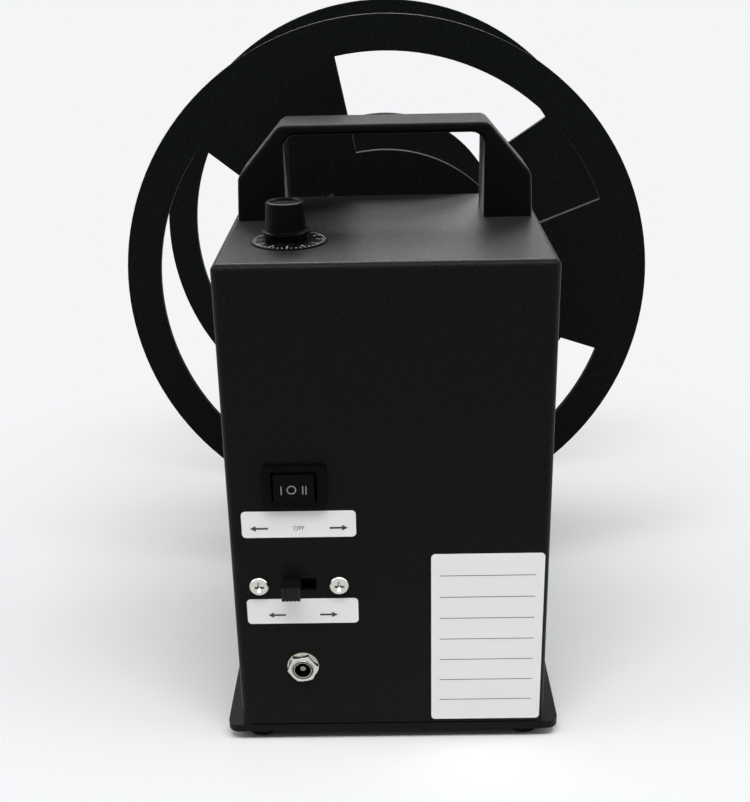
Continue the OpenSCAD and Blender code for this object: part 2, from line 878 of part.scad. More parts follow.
module plate_standoffs() {
    color("#cfcf9f") difference() {
        along_y(inner_front_y, standoff_l) at_standoffs() hexagon(standoff_flats);
        for (y = [inner_front_y - 1, plate_y - standoff_bore_l])
            along_y(y, standoff_bore_l + 1) at_standoffs() circle(d = m4_d + 2 * hole_play);
    }
}

module standoff_screws() {
    screw_in = standoff_bore_l - 1;
    color("#c9cacb") for (x = [-1, 1], z = [-1, 1]) {
        forward(x * standoff_x, plate_front_y, inner_z + z * standoff_z)
            screw(m4_d, front_t + screw_in, m4_head_d, m4_head_h);
        backward(x * standoff_x, inner_y, inner_z + z * standoff_z)
            screw(m4_d, inner_t + screw_in - 1, m4_head_d, m4_head_h);
    }
}

module motor_gearhead() {
    color("#9ea1a3") difference() {
        union() {
            forward(motor_x, inner_y - gearhead_l, motor_z) cylinder(d = gearhead_d, h = gearhead_l);
            forward(motor_x, inner_y - 1, motor_z) cylinder(d = motor_boss_d, h = inner_t + 1);
        }
        forward(motor_x, inner_y - motor_shaft_in, motor_z)
            cylinder(d = motor_shaft_d + 2 * running_fit, h = motor_shaft_in + inner_t + 1);
        along_y(inner_y - motor_shaft_in, motor_shaft_in + 1)
            at_motor_screws() circle(d = m3_d + 2 * hole_play);
    }
}

module motor_can() {
    end_y = inner_y - gearhead_l - motor_l;
    tag_l = 2 * motor_cap_l;
    color("#8c8f91") {
        forward(motor_x, end_y, motor_z) cylinder(d = motor_d, h = motor_l);
        forward(motor_x, end_y - motor_cap_l, motor_z) cylinder(d = motor_cap_d, h = motor_cap_l + 1);
        for (x = [-1, 1]) translate([motor_x + x * motor_d / 3 - motor_tag_w / 2, end_y - tag_l, motor_z])
            cube([motor_tag_w, tag_l + 1, blade_t]);
    }
}

module motor_screws() {
    color("#c9cacb") for (i = [0 : 3]) {
        angle = motor_screw_angle(i);
        forward(motor_x + motor_screw_r * cos(angle), inner_front_y, motor_z + motor_screw_r * sin(angle))
            screw(m3_d, inner_t + motor_shaft_in - 2, m3_head_d, m3_head_h);
    }
}

// Involute gear outline with a tooth along +X
function tip_angle(base_r, r) = let (a = acos(min(1, base_r / r))) tan(a) * 180 / PI - a;

module gear_outline(teeth) {
    pitch_r = gear_module * teeth / 2;
    base_circle_r = pitch_r * cos(20);
    root_r = pitch_r - 1.25 * gear_module;
    tip_r = pitch_r + gear_module;
    start_r = max(base_circle_r, root_r);
    flank = [for (i = [0 : 4]) start_r + (tip_r - start_r) * i / 4];
    half_pitch = 90 / teeth - tooth_play / (2 * pitch_r) * 180 / PI;
    half_base = half_pitch + tip_angle(base_circle_r, pitch_r);
    half = [for (r = flank) half_base - tip_angle(base_circle_r, r)];
    polygon([for (t = [0 : teeth - 1], k = [0 : 11]) let (
        i = min(max(k < 6 ? k - 1 : 10 - k, 0), 4),
        r = (k == 0 || k == 11) ? root_r : flank[i],
        a = 360 * t / teeth + (k < 6 ? -1 : 1) * half[i]
    ) [r * cos(a), r * sin(a)]]);
}

module drive_gear() {
    hub_y = rear_bearing_y + bearing_w + hub_end_play;
    hub_l = front_bearing_y - hub_end_play - hub_y;
    hole_count = 6;
    hole_r = (gear_hub_d / 2 + gear_module * gear_teeth / 2) / 2;
    hole_d = gear_module * gear_teeth / 2 - gear_hub_d / 2 - gear_web;
    color("#e4e2d8") difference() {
        union() {
            along_y(gear_y, gear_w) translate([0, spindle_z]) rotate(motor_angle) difference() {
                gear_outline(gear_teeth);
                for (i = [0 : hole_count - 1]) rotate(360 * (i + 0.5) / hole_count) translate([hole_r, 0])
                    circle(d = hole_d);
            }
            forward(0, hub_y, spindle_z) cylinder(d = gear_hub_d, h = hub_l);
        }
        forward(0, hub_y - 1, spindle_z) cylinder(d = spindle_d + 2 * running_fit, h = hub_l + 2);
    }
}

module motor_pinion() {
    color("#c4a45c") along_y(gear_y, gear_w) translate([motor_x, motor_z])
        rotate(motor_angle + 180 + 180 / pinion_teeth) difference() {
            gear_outline(pinion_teeth);
            circle(d = motor_shaft_d + 2 * running_fit);
        }
}

module motor_shaft() {
    shaft_y = inner_y - motor_shaft_in + hub_end_play;
    color("#b4b7b9") forward(motor_x, shaft_y, motor_z)
        cylinder(d = motor_shaft_d, h = gear_y + gear_w + 1 - shaft_y);
}

// Spindle with the shoulder that carries the inner disc
module spindle_shaft() {
    start_y = inner_y - nose_proud;
    length = spindle_end_y - start_y;
    shoulder_end = inner_disc_y - start_y;
    r = spindle_d / 2;
    color("#c6c9cb") forward(0, start_y, spindle_z) rotate_extrude() polygon([
        [0, 0], [r - end_chamfer, 0], [r, end_chamfer], [r, shoulder_end - shoulder_l],
        [shoulder_d / 2, shoulder_end - shoulder_l], [shoulder_d / 2, shoulder_end], [r, shoulder_end],
        [r, length - end_chamfer], [r - end_chamfer, length], [0, length]
    ]);
}

module disc_lock_nut() {
    notch_r = lock_nut_d / 2 - nut_notch_depth;
    color("#b4b7b9") along_y(inner_face_y, lock_nut_l) translate([0, spindle_z]) difference() {
        circle(d = lock_nut_d);
        circle(d = spindle_d + 2 * running_fit);
        for (i = [0 : 3]) rotate(45 + 90 * i) translate([notch_r, 0]) square(nut_notch_w, center = true);
    }
}

// Reel disc: a window between each pair of spokes, and a slot for a jaw along each spoke
module sector(r_in, r_out, angle) {
    far = 2 * r_out;
    intersection() {
        difference() {
            circle(r_out);
            circle(r_in);
        }
        polygon([[0, 0], [far * cos(angle / 2), -far * sin(angle / 2)],
            [far, 0], [far * cos(angle / 2), far * sin(angle / 2)]]);
    }
}

module disc_outline() {
    slot_in = jaw_bolt_r - jaw_in - side_play;
    slot_l = jaw_in + jaw_out + 2 * side_play;
    difference() {
        circle(d = disc_d, $fn = 180);
        circle(d = spindle_d + 2 * running_fit);
        for (i = [0 : jaw_count - 1]) {
            rotate((i + 0.5) * 360 / jaw_count)
                sector(hub_r, disc_d / 2 - rim_w, 360 / jaw_count - spoke_angle);
            rotate(i * 360 / jaw_count) translate([slot_in, 0]) round_bar(slot_l, jaw_bolt_d + 2 * hole_play);
        }
    }
}

module inner_disc() {
    color("#181919") along_y(inner_disc_y, disc_t) translate([0, spindle_z]) rotate(inner_turn) disc_outline();
}

module outer_disc() {
    color("#181919") along_y(outer_disc_y, disc_t) translate([0, spindle_z]) rotate(outer_turn) difference() {
        disc_outline();
        rotate(-outer_turn) at_collar_screws() circle(d = m3_d + 2 * hole_play);
    }
}

// Core jaws: a bent foot and blade, drawn on the right of the spindle
module core_jaw(i) {
    r = core_d / 2;
    color("#1d1e1e") about_spindle(inner_turn + i * 360 / jaw_count) difference() {
        translate([0, 0, -jaw_w / 2]) linear_extrude(jaw_w) polygon([
            [r - jaw_foot_l, inner_face_y], [r, inner_face_y], [r, inner_face_y + jaw_l - jaw_t],
            [r - jaw_t, inner_face_y + jaw_l], [r - jaw_t, inner_face_y + jaw_t],
            [r - jaw_foot_l, inner_face_y + jaw_t]
        ]);
        forward(jaw_bolt_r, inner_face_y - 1, 0) cylinder(d = jaw_bolt_d + 2 * running_fit, h = jaw_t + 2);
    }
}

module jaw_bolt(i) {
    shank_l = disc_t + jaw_t + thumb_h + 1;
    color("#1d1e1e") about_spindle(inner_turn + i * 360 / jaw_count)
        backward(jaw_bolt_r, inner_disc_y, 0) screw(jaw_bolt_d, shank_l, bolt_head_d, bolt_head_t);
}

module thumb_nut(i) {
    waist_d = thumb_d - 2;
    color("#b4b7b9") about_spindle(inner_turn + i * 360 / jaw_count)
        forward(jaw_bolt_r, inner_face_y + jaw_t, 0) difference() {
            union() {
                cylinder(d = waist_d, h = thumb_h);
                translate([0, 0, thumb_step]) cylinder(d = thumb_d, h = thumb_h - thumb_step);
            }
            translate([0, 0, -1]) cylinder(d = jaw_bolt_d + 2 * running_fit, h = thumb_h + 2);
            for (k = [0 : knurl_count - 1]) rotate(360 * k / knurl_count)
                translate([thumb_d / 2 + knurl_out, 0, 1]) cylinder(d = knurl_d, h = thumb_h);
        }
}

module core_jaw_1() { core_jaw(0); }
module core_jaw_2() { core_jaw(1); }
module core_jaw_3() { core_jaw(2); }
module jaw_bolt_1() { jaw_bolt(0); }
module jaw_bolt_2() { jaw_bolt(1); }
module jaw_bolt_3() { jaw_bolt(2); }
module thumb_nut_1() { thumb_nut(0); }
module thumb_nut_2() { thumb_nut(1); }
module thumb_nut_3() { thumb_nut(2); }

// Lock collar that slides on the spindle with the outer disc
module lock_collar() {
    color("#b4b7b9") difference() {
        union() {
            along_y(collar_y, collar_flange_t) translate([0, spindle_z]) difference() {
                circle(d = collar_flange_d);
                at_collar_screws() circle(d = m3_d + 2 * hole_play);
            }
            forward(0, collar_y, spindle_z) cylinder(d = collar_d, h = collar_l);
        }
        forward(0, collar_y - 1, spindle_z) cylinder(d = spindle_d + 2 * running_fit, h = collar_l + 2);
        about_spindle(lock_angle) translate([0, lock_y, 0]) rotate([0, 90, 0])
            cylinder(d = lock_d + 2 * running_fit, h = collar_d);
    }
}

module collar_screws() {
    color("#c9cacb") for (i = [0 : 2]) {
        x = collar_screw_r * cos(collar_screw_angle(i));
        z = spindle_z + collar_screw_r * sin(collar_screw_angle(i));
        forward(x, collar_y + collar_flange_t, z) screw(m3_d, collar_flange_t + disc_t, m3_head_d, m3_head_h);
    }
}

module lock_screw() {
    tip_r = spindle_d / 2 + side_play;
    grip_r = collar_d / 2 + grip_clear;
    color("#202222") about_spindle(lock_angle) translate([0, lock_y, 0]) rotate([0, 90, 0]) difference() {
        union() {
            translate([0, 0, tip_r]) cylinder(d = lock_d, h = grip_r - tip_r + 1);
            translate([0, 0, grip_r]) cylinder(d = grip_d, h = grip_l);
        }
        for (k = [0 : grip_flutes - 1]) rotate(360 * k / grip_flutes)
            translate([grip_d / 2 + grip_flute_out, 0, grip_r - 1]) cylinder(d = grip_flute_d, h = grip_l + 2);
    }
}

// Speed dial on the top of the cover
module speed_potentiometer() {
    neck_top = body_top + scale_t + dial_nut_h;
    body_bottom = body_top - cover_t - pot_h;
    color("#5c6a74") translate([-dial_x, rear_y + dial_y, 0]) {
        difference() {
            union() {
                translate([0, 0, body_bottom]) cylinder(d = pot_d, h = pot_h);
                translate([0, 0, body_bottom]) cylinder(d = pot_neck_d, h = neck_top - body_bottom);
            }
            translate([0, 0, body_bottom + pot_floor])
                cylinder(d = pot_shaft_d + 2 * running_fit, h = neck_top - body_bottom);
        }
        for (x = [-1 : 1])
            translate([pot_tag_pitch * x - pot_tag_w / 2, pot_d / 2 - pot_tag_in, body_bottom + pot_floor])
                cube([pot_tag_w, pot_tag_l, blade_t]);
    }
}

module potentiometer_nut() {
    color("#c9cacb") translate([-dial_x, rear_y + dial_y, body_top + scale_t])
        linear_extrude(dial_nut_h) difference() {
            hexagon(dial_nut_flats);
            circle(d = pot_neck_d + 2 * hole_play);
        }
}

module dial_scale() {
    color("#121313") translate([-dial_x, rear_y + dial_y, body_top]) linear_extrude(scale_t) difference() {
        translate([scale_shift, 0]) circle(d = scale_d);
        circle(d = pot_neck_d + 2 * hole_play);
    }
}

module potentiometer_shaft() {
    shaft_bottom = body_top - cover_t - pot_h + pot_floor + side_play;
    shaft_top = knob_bottom + knob_h - knob_roof;
    color("#c9cacb") translate([-dial_x, rear_y + dial_y, shaft_bottom])
        cylinder(d = pot_shaft_d, h = shaft_top - shaft_bottom);
}

module speed_knob() {
    top_r = knob_d / 2;
    base_r = knob_base_d / 2;
    ring_r = knob_ring_d / 2;
    ring_top = knob_ring_z + knob_ring_t;
    dish_r = top_r - knob_rim_w;
    dish_z = knob_h - dish_depth;
    bore_r = pot_shaft_d / 2 + running_fit;
    shaft_h = knob_h - knob_roof + hole_play;
    taper = atan((base_r - top_r) / (knob_h - ring_top));
    color("#141515") translate([-dial_x, rear_y + dial_y, knob_bottom]) difference() {
        rotate_extrude() polygon([
            [0, dish_z], [dish_r, dish_z], [dish_r + dish_slope, knob_h], [top_r - knob_edge, knob_h],
            [top_r, knob_h - knob_edge], [base_r, ring_top], [ring_r - knob_edge, ring_top],
            [ring_r, ring_top - knob_edge], [ring_r, knob_ring_z], [knob_boss_d / 2, knob_ring_z],
            [knob_boss_d / 2, 0], [knob_recess_d / 2, 0], [knob_recess_d / 2, knob_recess_h],
            [bore_r, knob_recess_h], [bore_r, shaft_h], [0, shaft_h]
        ]);
        for (k = [1 : flute_count - 1]) rotate(360 * k / flute_count - 90)
            translate([base_r + flute_out, 0, ring_top + flute_start]) rotate([0, -taper, 0])
                cylinder(d = flute_d, h = knob_h);
    }
}

// Rocker switch
module rocker_housing() {
    tag_y = rear_y + rocker_body_d - 1;
    color("#131414") difference() {
        union() {
            along_y(rear_y - rocker_rim_t, rocker_rim_t) translate([-controls_x, rocker_z])
                rounded(rocker_w, rocker_h, rocker_r);
            along_y(rear_y - 1, rocker_body_d + 1) translate([-controls_x, rocker_z])
                square([rocker_body_w, rocker_body_h], center = true);
            for (x = [-1 : 1])
                translate([rocker_tag_pitch * x - controls_x - blade_t / 2, tag_y, rocker_z - rocker_tag_w / 2])
                    cube([blade_t, rocker_tag_l + 1, rocker_tag_w]);
        }
        along_y(rear_y - rocker_rim_t - 1, rocker_rim_t + paddle_depth + 4) translate([-controls_x, rocker_z])
            square([paddle_w + 2 * paddle_play, paddle_h + 2 * side_play], center = true);
        translate([-controls_x, rocker_pivot_y, rocker_z])
            cylinder(d = rocker_pin_d + 2 * running_fit, h = paddle_h + pin_in + side_play, center = true);
    }
}

module rocker_paddle() {
    half_w = paddle_w / 2;
    face_y = rear_y - paddle_out;
    back_y = rocker_pivot_y + paddle_depth - paddle_back_in;
    color("#101111") {
        translate([-controls_x, 0, rocker_z - paddle_h / 2]) linear_extrude(paddle_h) polygon([
            [-half_w, face_y], [0, face_y + paddle_dip], [half_w, face_y],
            [half_w, rocker_pivot_y], [paddle_back_w / 2, back_y],
            [-paddle_back_w / 2, back_y], [-half_w, rocker_pivot_y]
        ]);
        translate([-controls_x, rocker_pivot_y, rocker_z])
            cylinder(d = rocker_pin_d, h = paddle_h + pin_in, center = true);
    }
}

// Slide switch behind the panel
module slide_switch_body() {
    inside_y = rear_y + cover_t;
    tag_y = inside_y + selector_body_d - 1;
    color("#7d8082") difference() {
        union() {
            along_y(inside_y, selector_plate_t) translate([-controls_x, selector_z])
                rounded(selector_pitch + selector_end_w, selector_plate_h, selector_plate_r);
            along_y(inside_y, selector_body_d) translate([-controls_x, selector_z])
                square([selector_pitch - selector_body_in, selector_body_h], center = true);
            for (x = [-1 : 1])
                translate([selector_tag_pitch * x - controls_x - selector_tag_w / 2, tag_y, selector_z])
                    cube([selector_tag_w, selector_tag_l, blade_t]);
        }
        along_y(inside_y - 1, stem_in + 2) translate([-controls_x, selector_z])
            square([slot_w, slot_h], center = true);
        along_y(inside_y - 1, selector_plate_t + 2) at_selector_screws() circle(d = m3_d + 2 * hole_play);
    }
}

module slide_switch_screws() {
    screw_l = cover_t + selector_plate_t + m3_d / 2;
    color("#dcdddc") for (x = [-1, 1])
        backward(x * selector_pitch / 2 - controls_x, rear_y, selector_z) {
            rotate_extrude() intersection() {
                square([m4_head_d / 2, dome_h]);
                translate([0, dome_h - m4_head_d]) circle(m4_head_d);
            }
            translate([0, 0, -screw_l]) cylinder(d = m3_d, h = screw_l + 1);
        }
}

module selector_button() {
    rib_pitch = button_w / rib_count;
    stem_end_y = rear_y + cover_t + stem_in;
    color("#0f1010") {
        difference() {
            along_y(rear_y - button_out, button_out - side_play) translate([button_x, selector_z])
                square([button_w, button_h], center = true);
            for (k = [1 : rib_count - 1])
                translate([button_x - button_w / 2 + k * rib_pitch, rear_y - button_out, selector_z])
                    cylinder(d = rib_groove_d, h = button_h + 1, center = true);
        }
        along_y(rear_y - 1, stem_end_y - rear_y + 1) translate([button_x, selector_z])
            square([stem_w, stem_h], center = true);
    }
}

// Power jack: threaded barrel with its centre pin, and the nut with its washer outside the panel
module power_jack() {
    floor_y = rear_y - jack_out + jack_bore_l;
    color("#c3c6c8") {
        difference() {
            union() {
                forward(-controls_x, rear_y - jack_out, jack_z) cylinder(d = jack_d, h = jack_out + jack_in);
                forward(-controls_x, rear_y + cover_t, jack_z) cylinder(d = jack_flange_d, h = jack_flange_l);
                for (z = [-1, 1]) translate([
                    -controls_x - jack_lug_w / 2, rear_y + jack_in - 1, jack_z + jack_lug_z * z - blade_t / 2
                ]) cube([jack_lug_w, jack_lug_l, blade_t]);
            }
            forward(-controls_x, rear_y - jack_out - 1, jack_z) cylinder(d = jack_bore_d, h = jack_bore_l + 1);
        }
        forward(-controls_x, rear_y - jack_out + 1, jack_z) cylinder(d = jack_pin_d, h = jack_bore_l);
    }
}

module power_jack_nut() {
    flat_r = jack_nut_flats / 2;
    corner_r = flat_r / cos(30);
    nut_top = jack_washer_t + jack_nut_t;
    color("#d6d7d6") backward(-controls_x, rear_y, jack_z) difference() {
        union() {
            cylinder(d = jack_washer_d, h = jack_washer_t);
            intersection() {
                rotate(jack_nut_turn) linear_extrude(nut_top) hexagon(jack_nut_flats);
                rotate_extrude() polygon([
                    [0, 0], [corner_r + 1, 0], [corner_r + 1, nut_top - jack_nut_chamfer - 1 / sqrt(3)],
                    [corner_r - jack_nut_chamfer * sqrt(3), nut_top], [0, nut_top]
                ]);
            }
        }
        translate([0, 0, -1]) cylinder(d = jack_d + 2 * hole_play, h = nut_top + 2);
    }
}

module panel_labels() {
    color("#ececea") {
        for (rise = [rocker_strip_rise, selector_strip_rise]) along_y(rear_y - label_t, label_t)
            translate([-controls_x + strip_shift, base_top + rise]) rounded(strip_w, strip_h, label_r);
        along_y(rear_y - label_t, label_t) translate([rating_x, base_top + rating_rise])
            rounded(rating_w, rating_h, label_r);
    }
}

// Control board above the base plate
module control_board() {
    color("#1f5a3c") translate([0, board_mid_y, board_z]) linear_extrude(board_t) difference() {
        square([board_w, board_d], center = true);
        for (x = [-1, 1], y = [-1, 1]) translate([x * pillar_x, y * pillar_y]) circle(d = m3_d + 2 * hole_play);
    }
}

module board_components() {
    sink_w = fin_pitch * (fin_count - 1) + fin_pitch / 2;
    color("#3a3d40") translate([0, board_mid_y, board_z + board_t]) {
        for (x = capacitor_x) translate([x, capacitor_y, 0]) cylinder(d = capacitor_d, h = capacitor_h);
        translate(sink_place) {
            cube([sink_w, sink_back_t, sink_h]);
            for (k = [0 : fin_count - 1]) translate([k * fin_pitch, 0, 0]) cube([fin_pitch / 2, fin_l, sink_h]);
        }
        translate(block_place) difference() {
            cube([way_pitch * ways, block_d, block_h]);
            for (k = [0 : ways - 1]) translate([way_pitch * (k + 0.5), block_d / 2, block_h / 2])
                cylinder(d = way_d, h = block_h);
        }
        translate(relay_place) cube(relay_size);
        translate(chip_place) cube(chip_size);
    }
}

module board_screws() {
    color("#c9cacb") at_pillars() translate([0, 0, board_z + board_t])
        screw(m3_d, board_t + pillar_h - 1, m3_head_d, m3_head_h);
}

// Tension arm in front of the front plate, under the reel
module arm_bush() {
    color("#b08d4f") difference() {
        union() {
            forward(-arm_x, plate_front_y - bush_l, arm_z) cylinder(d = bush_d, h = bush_l);
            forward(-arm_x, plate_front_y, arm_z) cylinder(d = bush_d + 2 * bush_flange_w, h = bush_flange_t);
        }
        forward(-arm_x, plate_front_y - bush_l - 1, arm_z)
            cylinder(d = arm_shaft_d + 2 * running_fit, h = bush_l + bush_flange_t + 2);
    }
}

module arm_shaft() {
    color("#b4b7b9") forward(-arm_x, plate_front_y - arm_shaft_in, arm_z)
        cylinder(d = arm_shaft_d, h = arm_y + arm_t - plate_front_y + arm_shaft_in);
}

module tension_arm() {
    color("#1c1d1d") along_y(arm_y, arm_t) translate([-arm_x, arm_z]) rotate(180) difference() {
        round_bar(arm_l, arm_w);
        circle(d = arm_shaft_d + 2 * running_fit);
        translate([arm_l, 0]) circle(d = roller_pin_d + 2 * running_fit);
    }
}

module roller_pin() {
    pin_l = arm_t + roller_l + 2 * side_play;
    head_d = roller_pin_d + 2 * pin_head_w;
    color("#c6c9cb") forward(-arm_x - arm_l, arm_y, arm_z) {
        cylinder(d = roller_pin_d, h = pin_l + 1);
        translate([0, 0, pin_l]) cylinder(d = head_d, h = pin_head_t);
    }
}

module tension_roller() {
    color("#d9dadb") forward(-arm_x - arm_l, arm_y + arm_t + side_play, arm_z)
        ring(roller_d, roller_pin_d + 2 * running_fit, roller_l);
}

module sensor_flag() {
    color("#2a2c2e") along_y(flag_y, flag_t) translate([-arm_x, arm_z]) rotate(flag_angle) difference() {
        union() {
            circle(d = flag_hub_d);
            translate([0, -flag_w / 2]) square([flag_l, flag_w]);
        }
        circle(d = arm_shaft_d + 2 * running_fit);
    }
}

module slot_sensor() {
    gap_y = flag_y + flag_t / 2 - sensor_slot / 2;
    slot_reach = flag_l - sensor_l + 1 + flag_reach_play;
    color("#17191b") difference() {
        along_y(gap_y - sensor_wall, plate_y - gap_y + sensor_wall) translate([-arm_x, arm_z])
            rotate(sensor_angle) translate([sensor_l, -sensor_w / 2]) square([sensor_in, sensor_w]);
        along_y(gap_y, sensor_slot) translate([-arm_x, arm_z]) rotate(sensor_angle)
            translate([sensor_l - 1, -sensor_w / 2 - 1]) square([slot_reach, sensor_w + 2]);
    }
}

base_plate();
rubber_feet();
foot_screws();
base_screws();
rear_cover();
side_screws();
front_plate();
carry_handle();
handle_screws();
bearing_housings();
housing_screws();
spindle_bearings();
inner_plate();
plate_standoffs();
standoff_screws();
motor_gearhead();
motor_can();
motor_screws();
control_board();
board_components();
board_screws();
speed_potentiometer();
potentiometer_nut();
dial_scale();
rocker_housing();
slide_switch_body();
slide_switch_screws();
power_jack();
power_jack_nut();
panel_labels();
arm_bush();
slot_sensor();
spindle_shaft();
drive_gear();
inner_disc();
disc_lock_nut();
core_jaw_1();
core_jaw_2();
core_jaw_3();
jaw_bolt_1();
jaw_bolt_2();
jaw_bolt_3();
thumb_nut_1();
thumb_nut_2();
thumb_nut_3();
outer_disc();
lock_collar();
collar_screws();
lock_screw();
motor_shaft();
motor_pinion();
speed_knob();
potentiometer_shaft();
rocker_paddle();
selector_button();
arm_shaft();
tension_arm();
roller_pin();
sensor_flag();
tension_roller();
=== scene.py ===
"""Looks of a bench label rewinder: softened edges, finishes, printed marks, studio and camera."""

import logging
import math
from collections.abc import Callable, Sequence
from dataclasses import dataclass, field
from enum import Enum

import bmesh
import bpy
from mathutils import Matrix, Vector


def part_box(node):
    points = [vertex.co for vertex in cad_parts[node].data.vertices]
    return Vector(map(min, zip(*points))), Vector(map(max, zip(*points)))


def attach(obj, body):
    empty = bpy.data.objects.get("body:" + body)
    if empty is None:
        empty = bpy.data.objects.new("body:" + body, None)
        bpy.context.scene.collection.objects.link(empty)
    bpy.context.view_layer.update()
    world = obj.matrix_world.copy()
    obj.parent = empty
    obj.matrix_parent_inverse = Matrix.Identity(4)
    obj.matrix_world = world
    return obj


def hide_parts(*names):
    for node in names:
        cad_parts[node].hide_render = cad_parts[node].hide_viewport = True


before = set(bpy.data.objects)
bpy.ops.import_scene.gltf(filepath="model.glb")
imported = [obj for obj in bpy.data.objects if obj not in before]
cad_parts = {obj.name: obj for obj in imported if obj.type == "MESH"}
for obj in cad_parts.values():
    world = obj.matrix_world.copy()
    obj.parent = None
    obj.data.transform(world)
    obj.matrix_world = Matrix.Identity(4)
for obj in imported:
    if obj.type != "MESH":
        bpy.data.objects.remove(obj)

MM = 0.001
IMAGE_HEIGHT_PX = 802
SENSOR_MM = 36.0
FACING_PANEL = Matrix.Rotation(math.pi / 2, 4, "X")
SHARP_ANGLE = math.radians(30)
FLAT_ANGLE = math.radians(0.5)
WELD_MM = 0.001
PRINT_WELD_MM = 0.0001
# Sockets of a Mix node for colours, by index
MIX_FACTOR, MIX_A, MIX_B, MIX_RESULT = 0, 6, 7, 2
Loop = list[tuple[float, float]]
log = logging.getLogger("rewinder")


class Body(Enum):
    """The rigid bodies that pieces ride on."""

    ROOT = "root"
    SPINDLE = "spindle"
    OUTER_FLANGE = "outer_flange"
    LOCK_SCREW = "lock_screw"
    SPEED_KNOB = "speed_knob"
    ROCKER = "rocker"
    SELECTOR = "selector"
    TENSION_ARM = "tension_arm"
    TENSION_ROLLER = "tension_roller"
    JAW_1 = "jaw_1"
    JAW_2 = "jaw_2"
    JAW_3 = "jaw_3"
    THUMB_NUT_1 = "thumb_nut_1"
    THUMB_NUT_2 = "thumb_nut_2"
    THUMB_NUT_3 = "thumb_nut_3"


class Axis(Enum):
    """A direction of the row frame, by its index."""

    X = 0
    Y = 1
    Z = 2


def srgb(code: str) -> tuple[float, float, float, float]:
    """Turns an sRGB hex value to linear colour.

    Args:
        code: Six hex digits after a hash sign.

    Returns:
        Linear red, green and blue, and an alpha of 1.
    """
    parts = [int(code[i : i + 2], 16) / 255 for i in (1, 3, 5)]
    linear = [p / 12.92 if p <= 0.04045 else ((p + 0.055) / 1.055) ** 2.4 for p in parts]
    return (*linear, 1.0)


def per_metre(size_mm: float) -> float:
    """Returns the texture scale at which a pattern repeats about every size_mm."""
    return 1 / (size_mm * MM)


def add_node(
    tree: bpy.types.NodeTree,
    kind: str,
    inputs: dict | None = None,
    links: dict | None = None,
    feeds: dict | None = None,
    **settings: object,
) -> bpy.types.Node:
    """Adds a shader node with its settings and links.

    Args:
        tree: The node tree that gets the node.
        kind: The node's Blender type.
        inputs: Values for unlinked sockets, by name or index.
        links: Output sockets to link in, by name or index of the input socket.
        feeds: Input sockets that the node feeds, by name or index of the output socket.
        **settings: Properties of the node itself.

    Returns:
        The new node.
    """
    node = tree.nodes.new(kind)
    for key, value in settings.items():
        setattr(node, key, value)
    for key, value in (inputs or {}).items():
        node.inputs[key].default_value = value
    for key, source in (links or {}).items():
        tree.links.new(source, node.inputs[key])
    for key, target in (feeds or {}).items():
        tree.links.new(node.outputs[key], target)
    return node


@dataclass(frozen=True)
class Grain:
    """What the patterns of a surface do to it.

    Attributes:
        relief: Pattern that raises the surface.
        relief_mm: Height of the relief.
        relief_share: Share of the relief that shows.
        gloss: Pattern that changes the roughness.
        roughness: Roughness where that pattern is 0, and where it is 1.
        tint: Pattern that changes the colour.
        tint_colour: Colour where that pattern is 1.
    """

    relief: bpy.types.NodeSocket | None = None
    relief_mm: float = 0.0
    relief_share: float = 1.0
    gloss: bpy.types.NodeSocket | None = None
    roughness: tuple[float, float] = (0.0, 1.0)
    tint: bpy.types.NodeSocket | None = None
    tint_colour: str = "#000000"


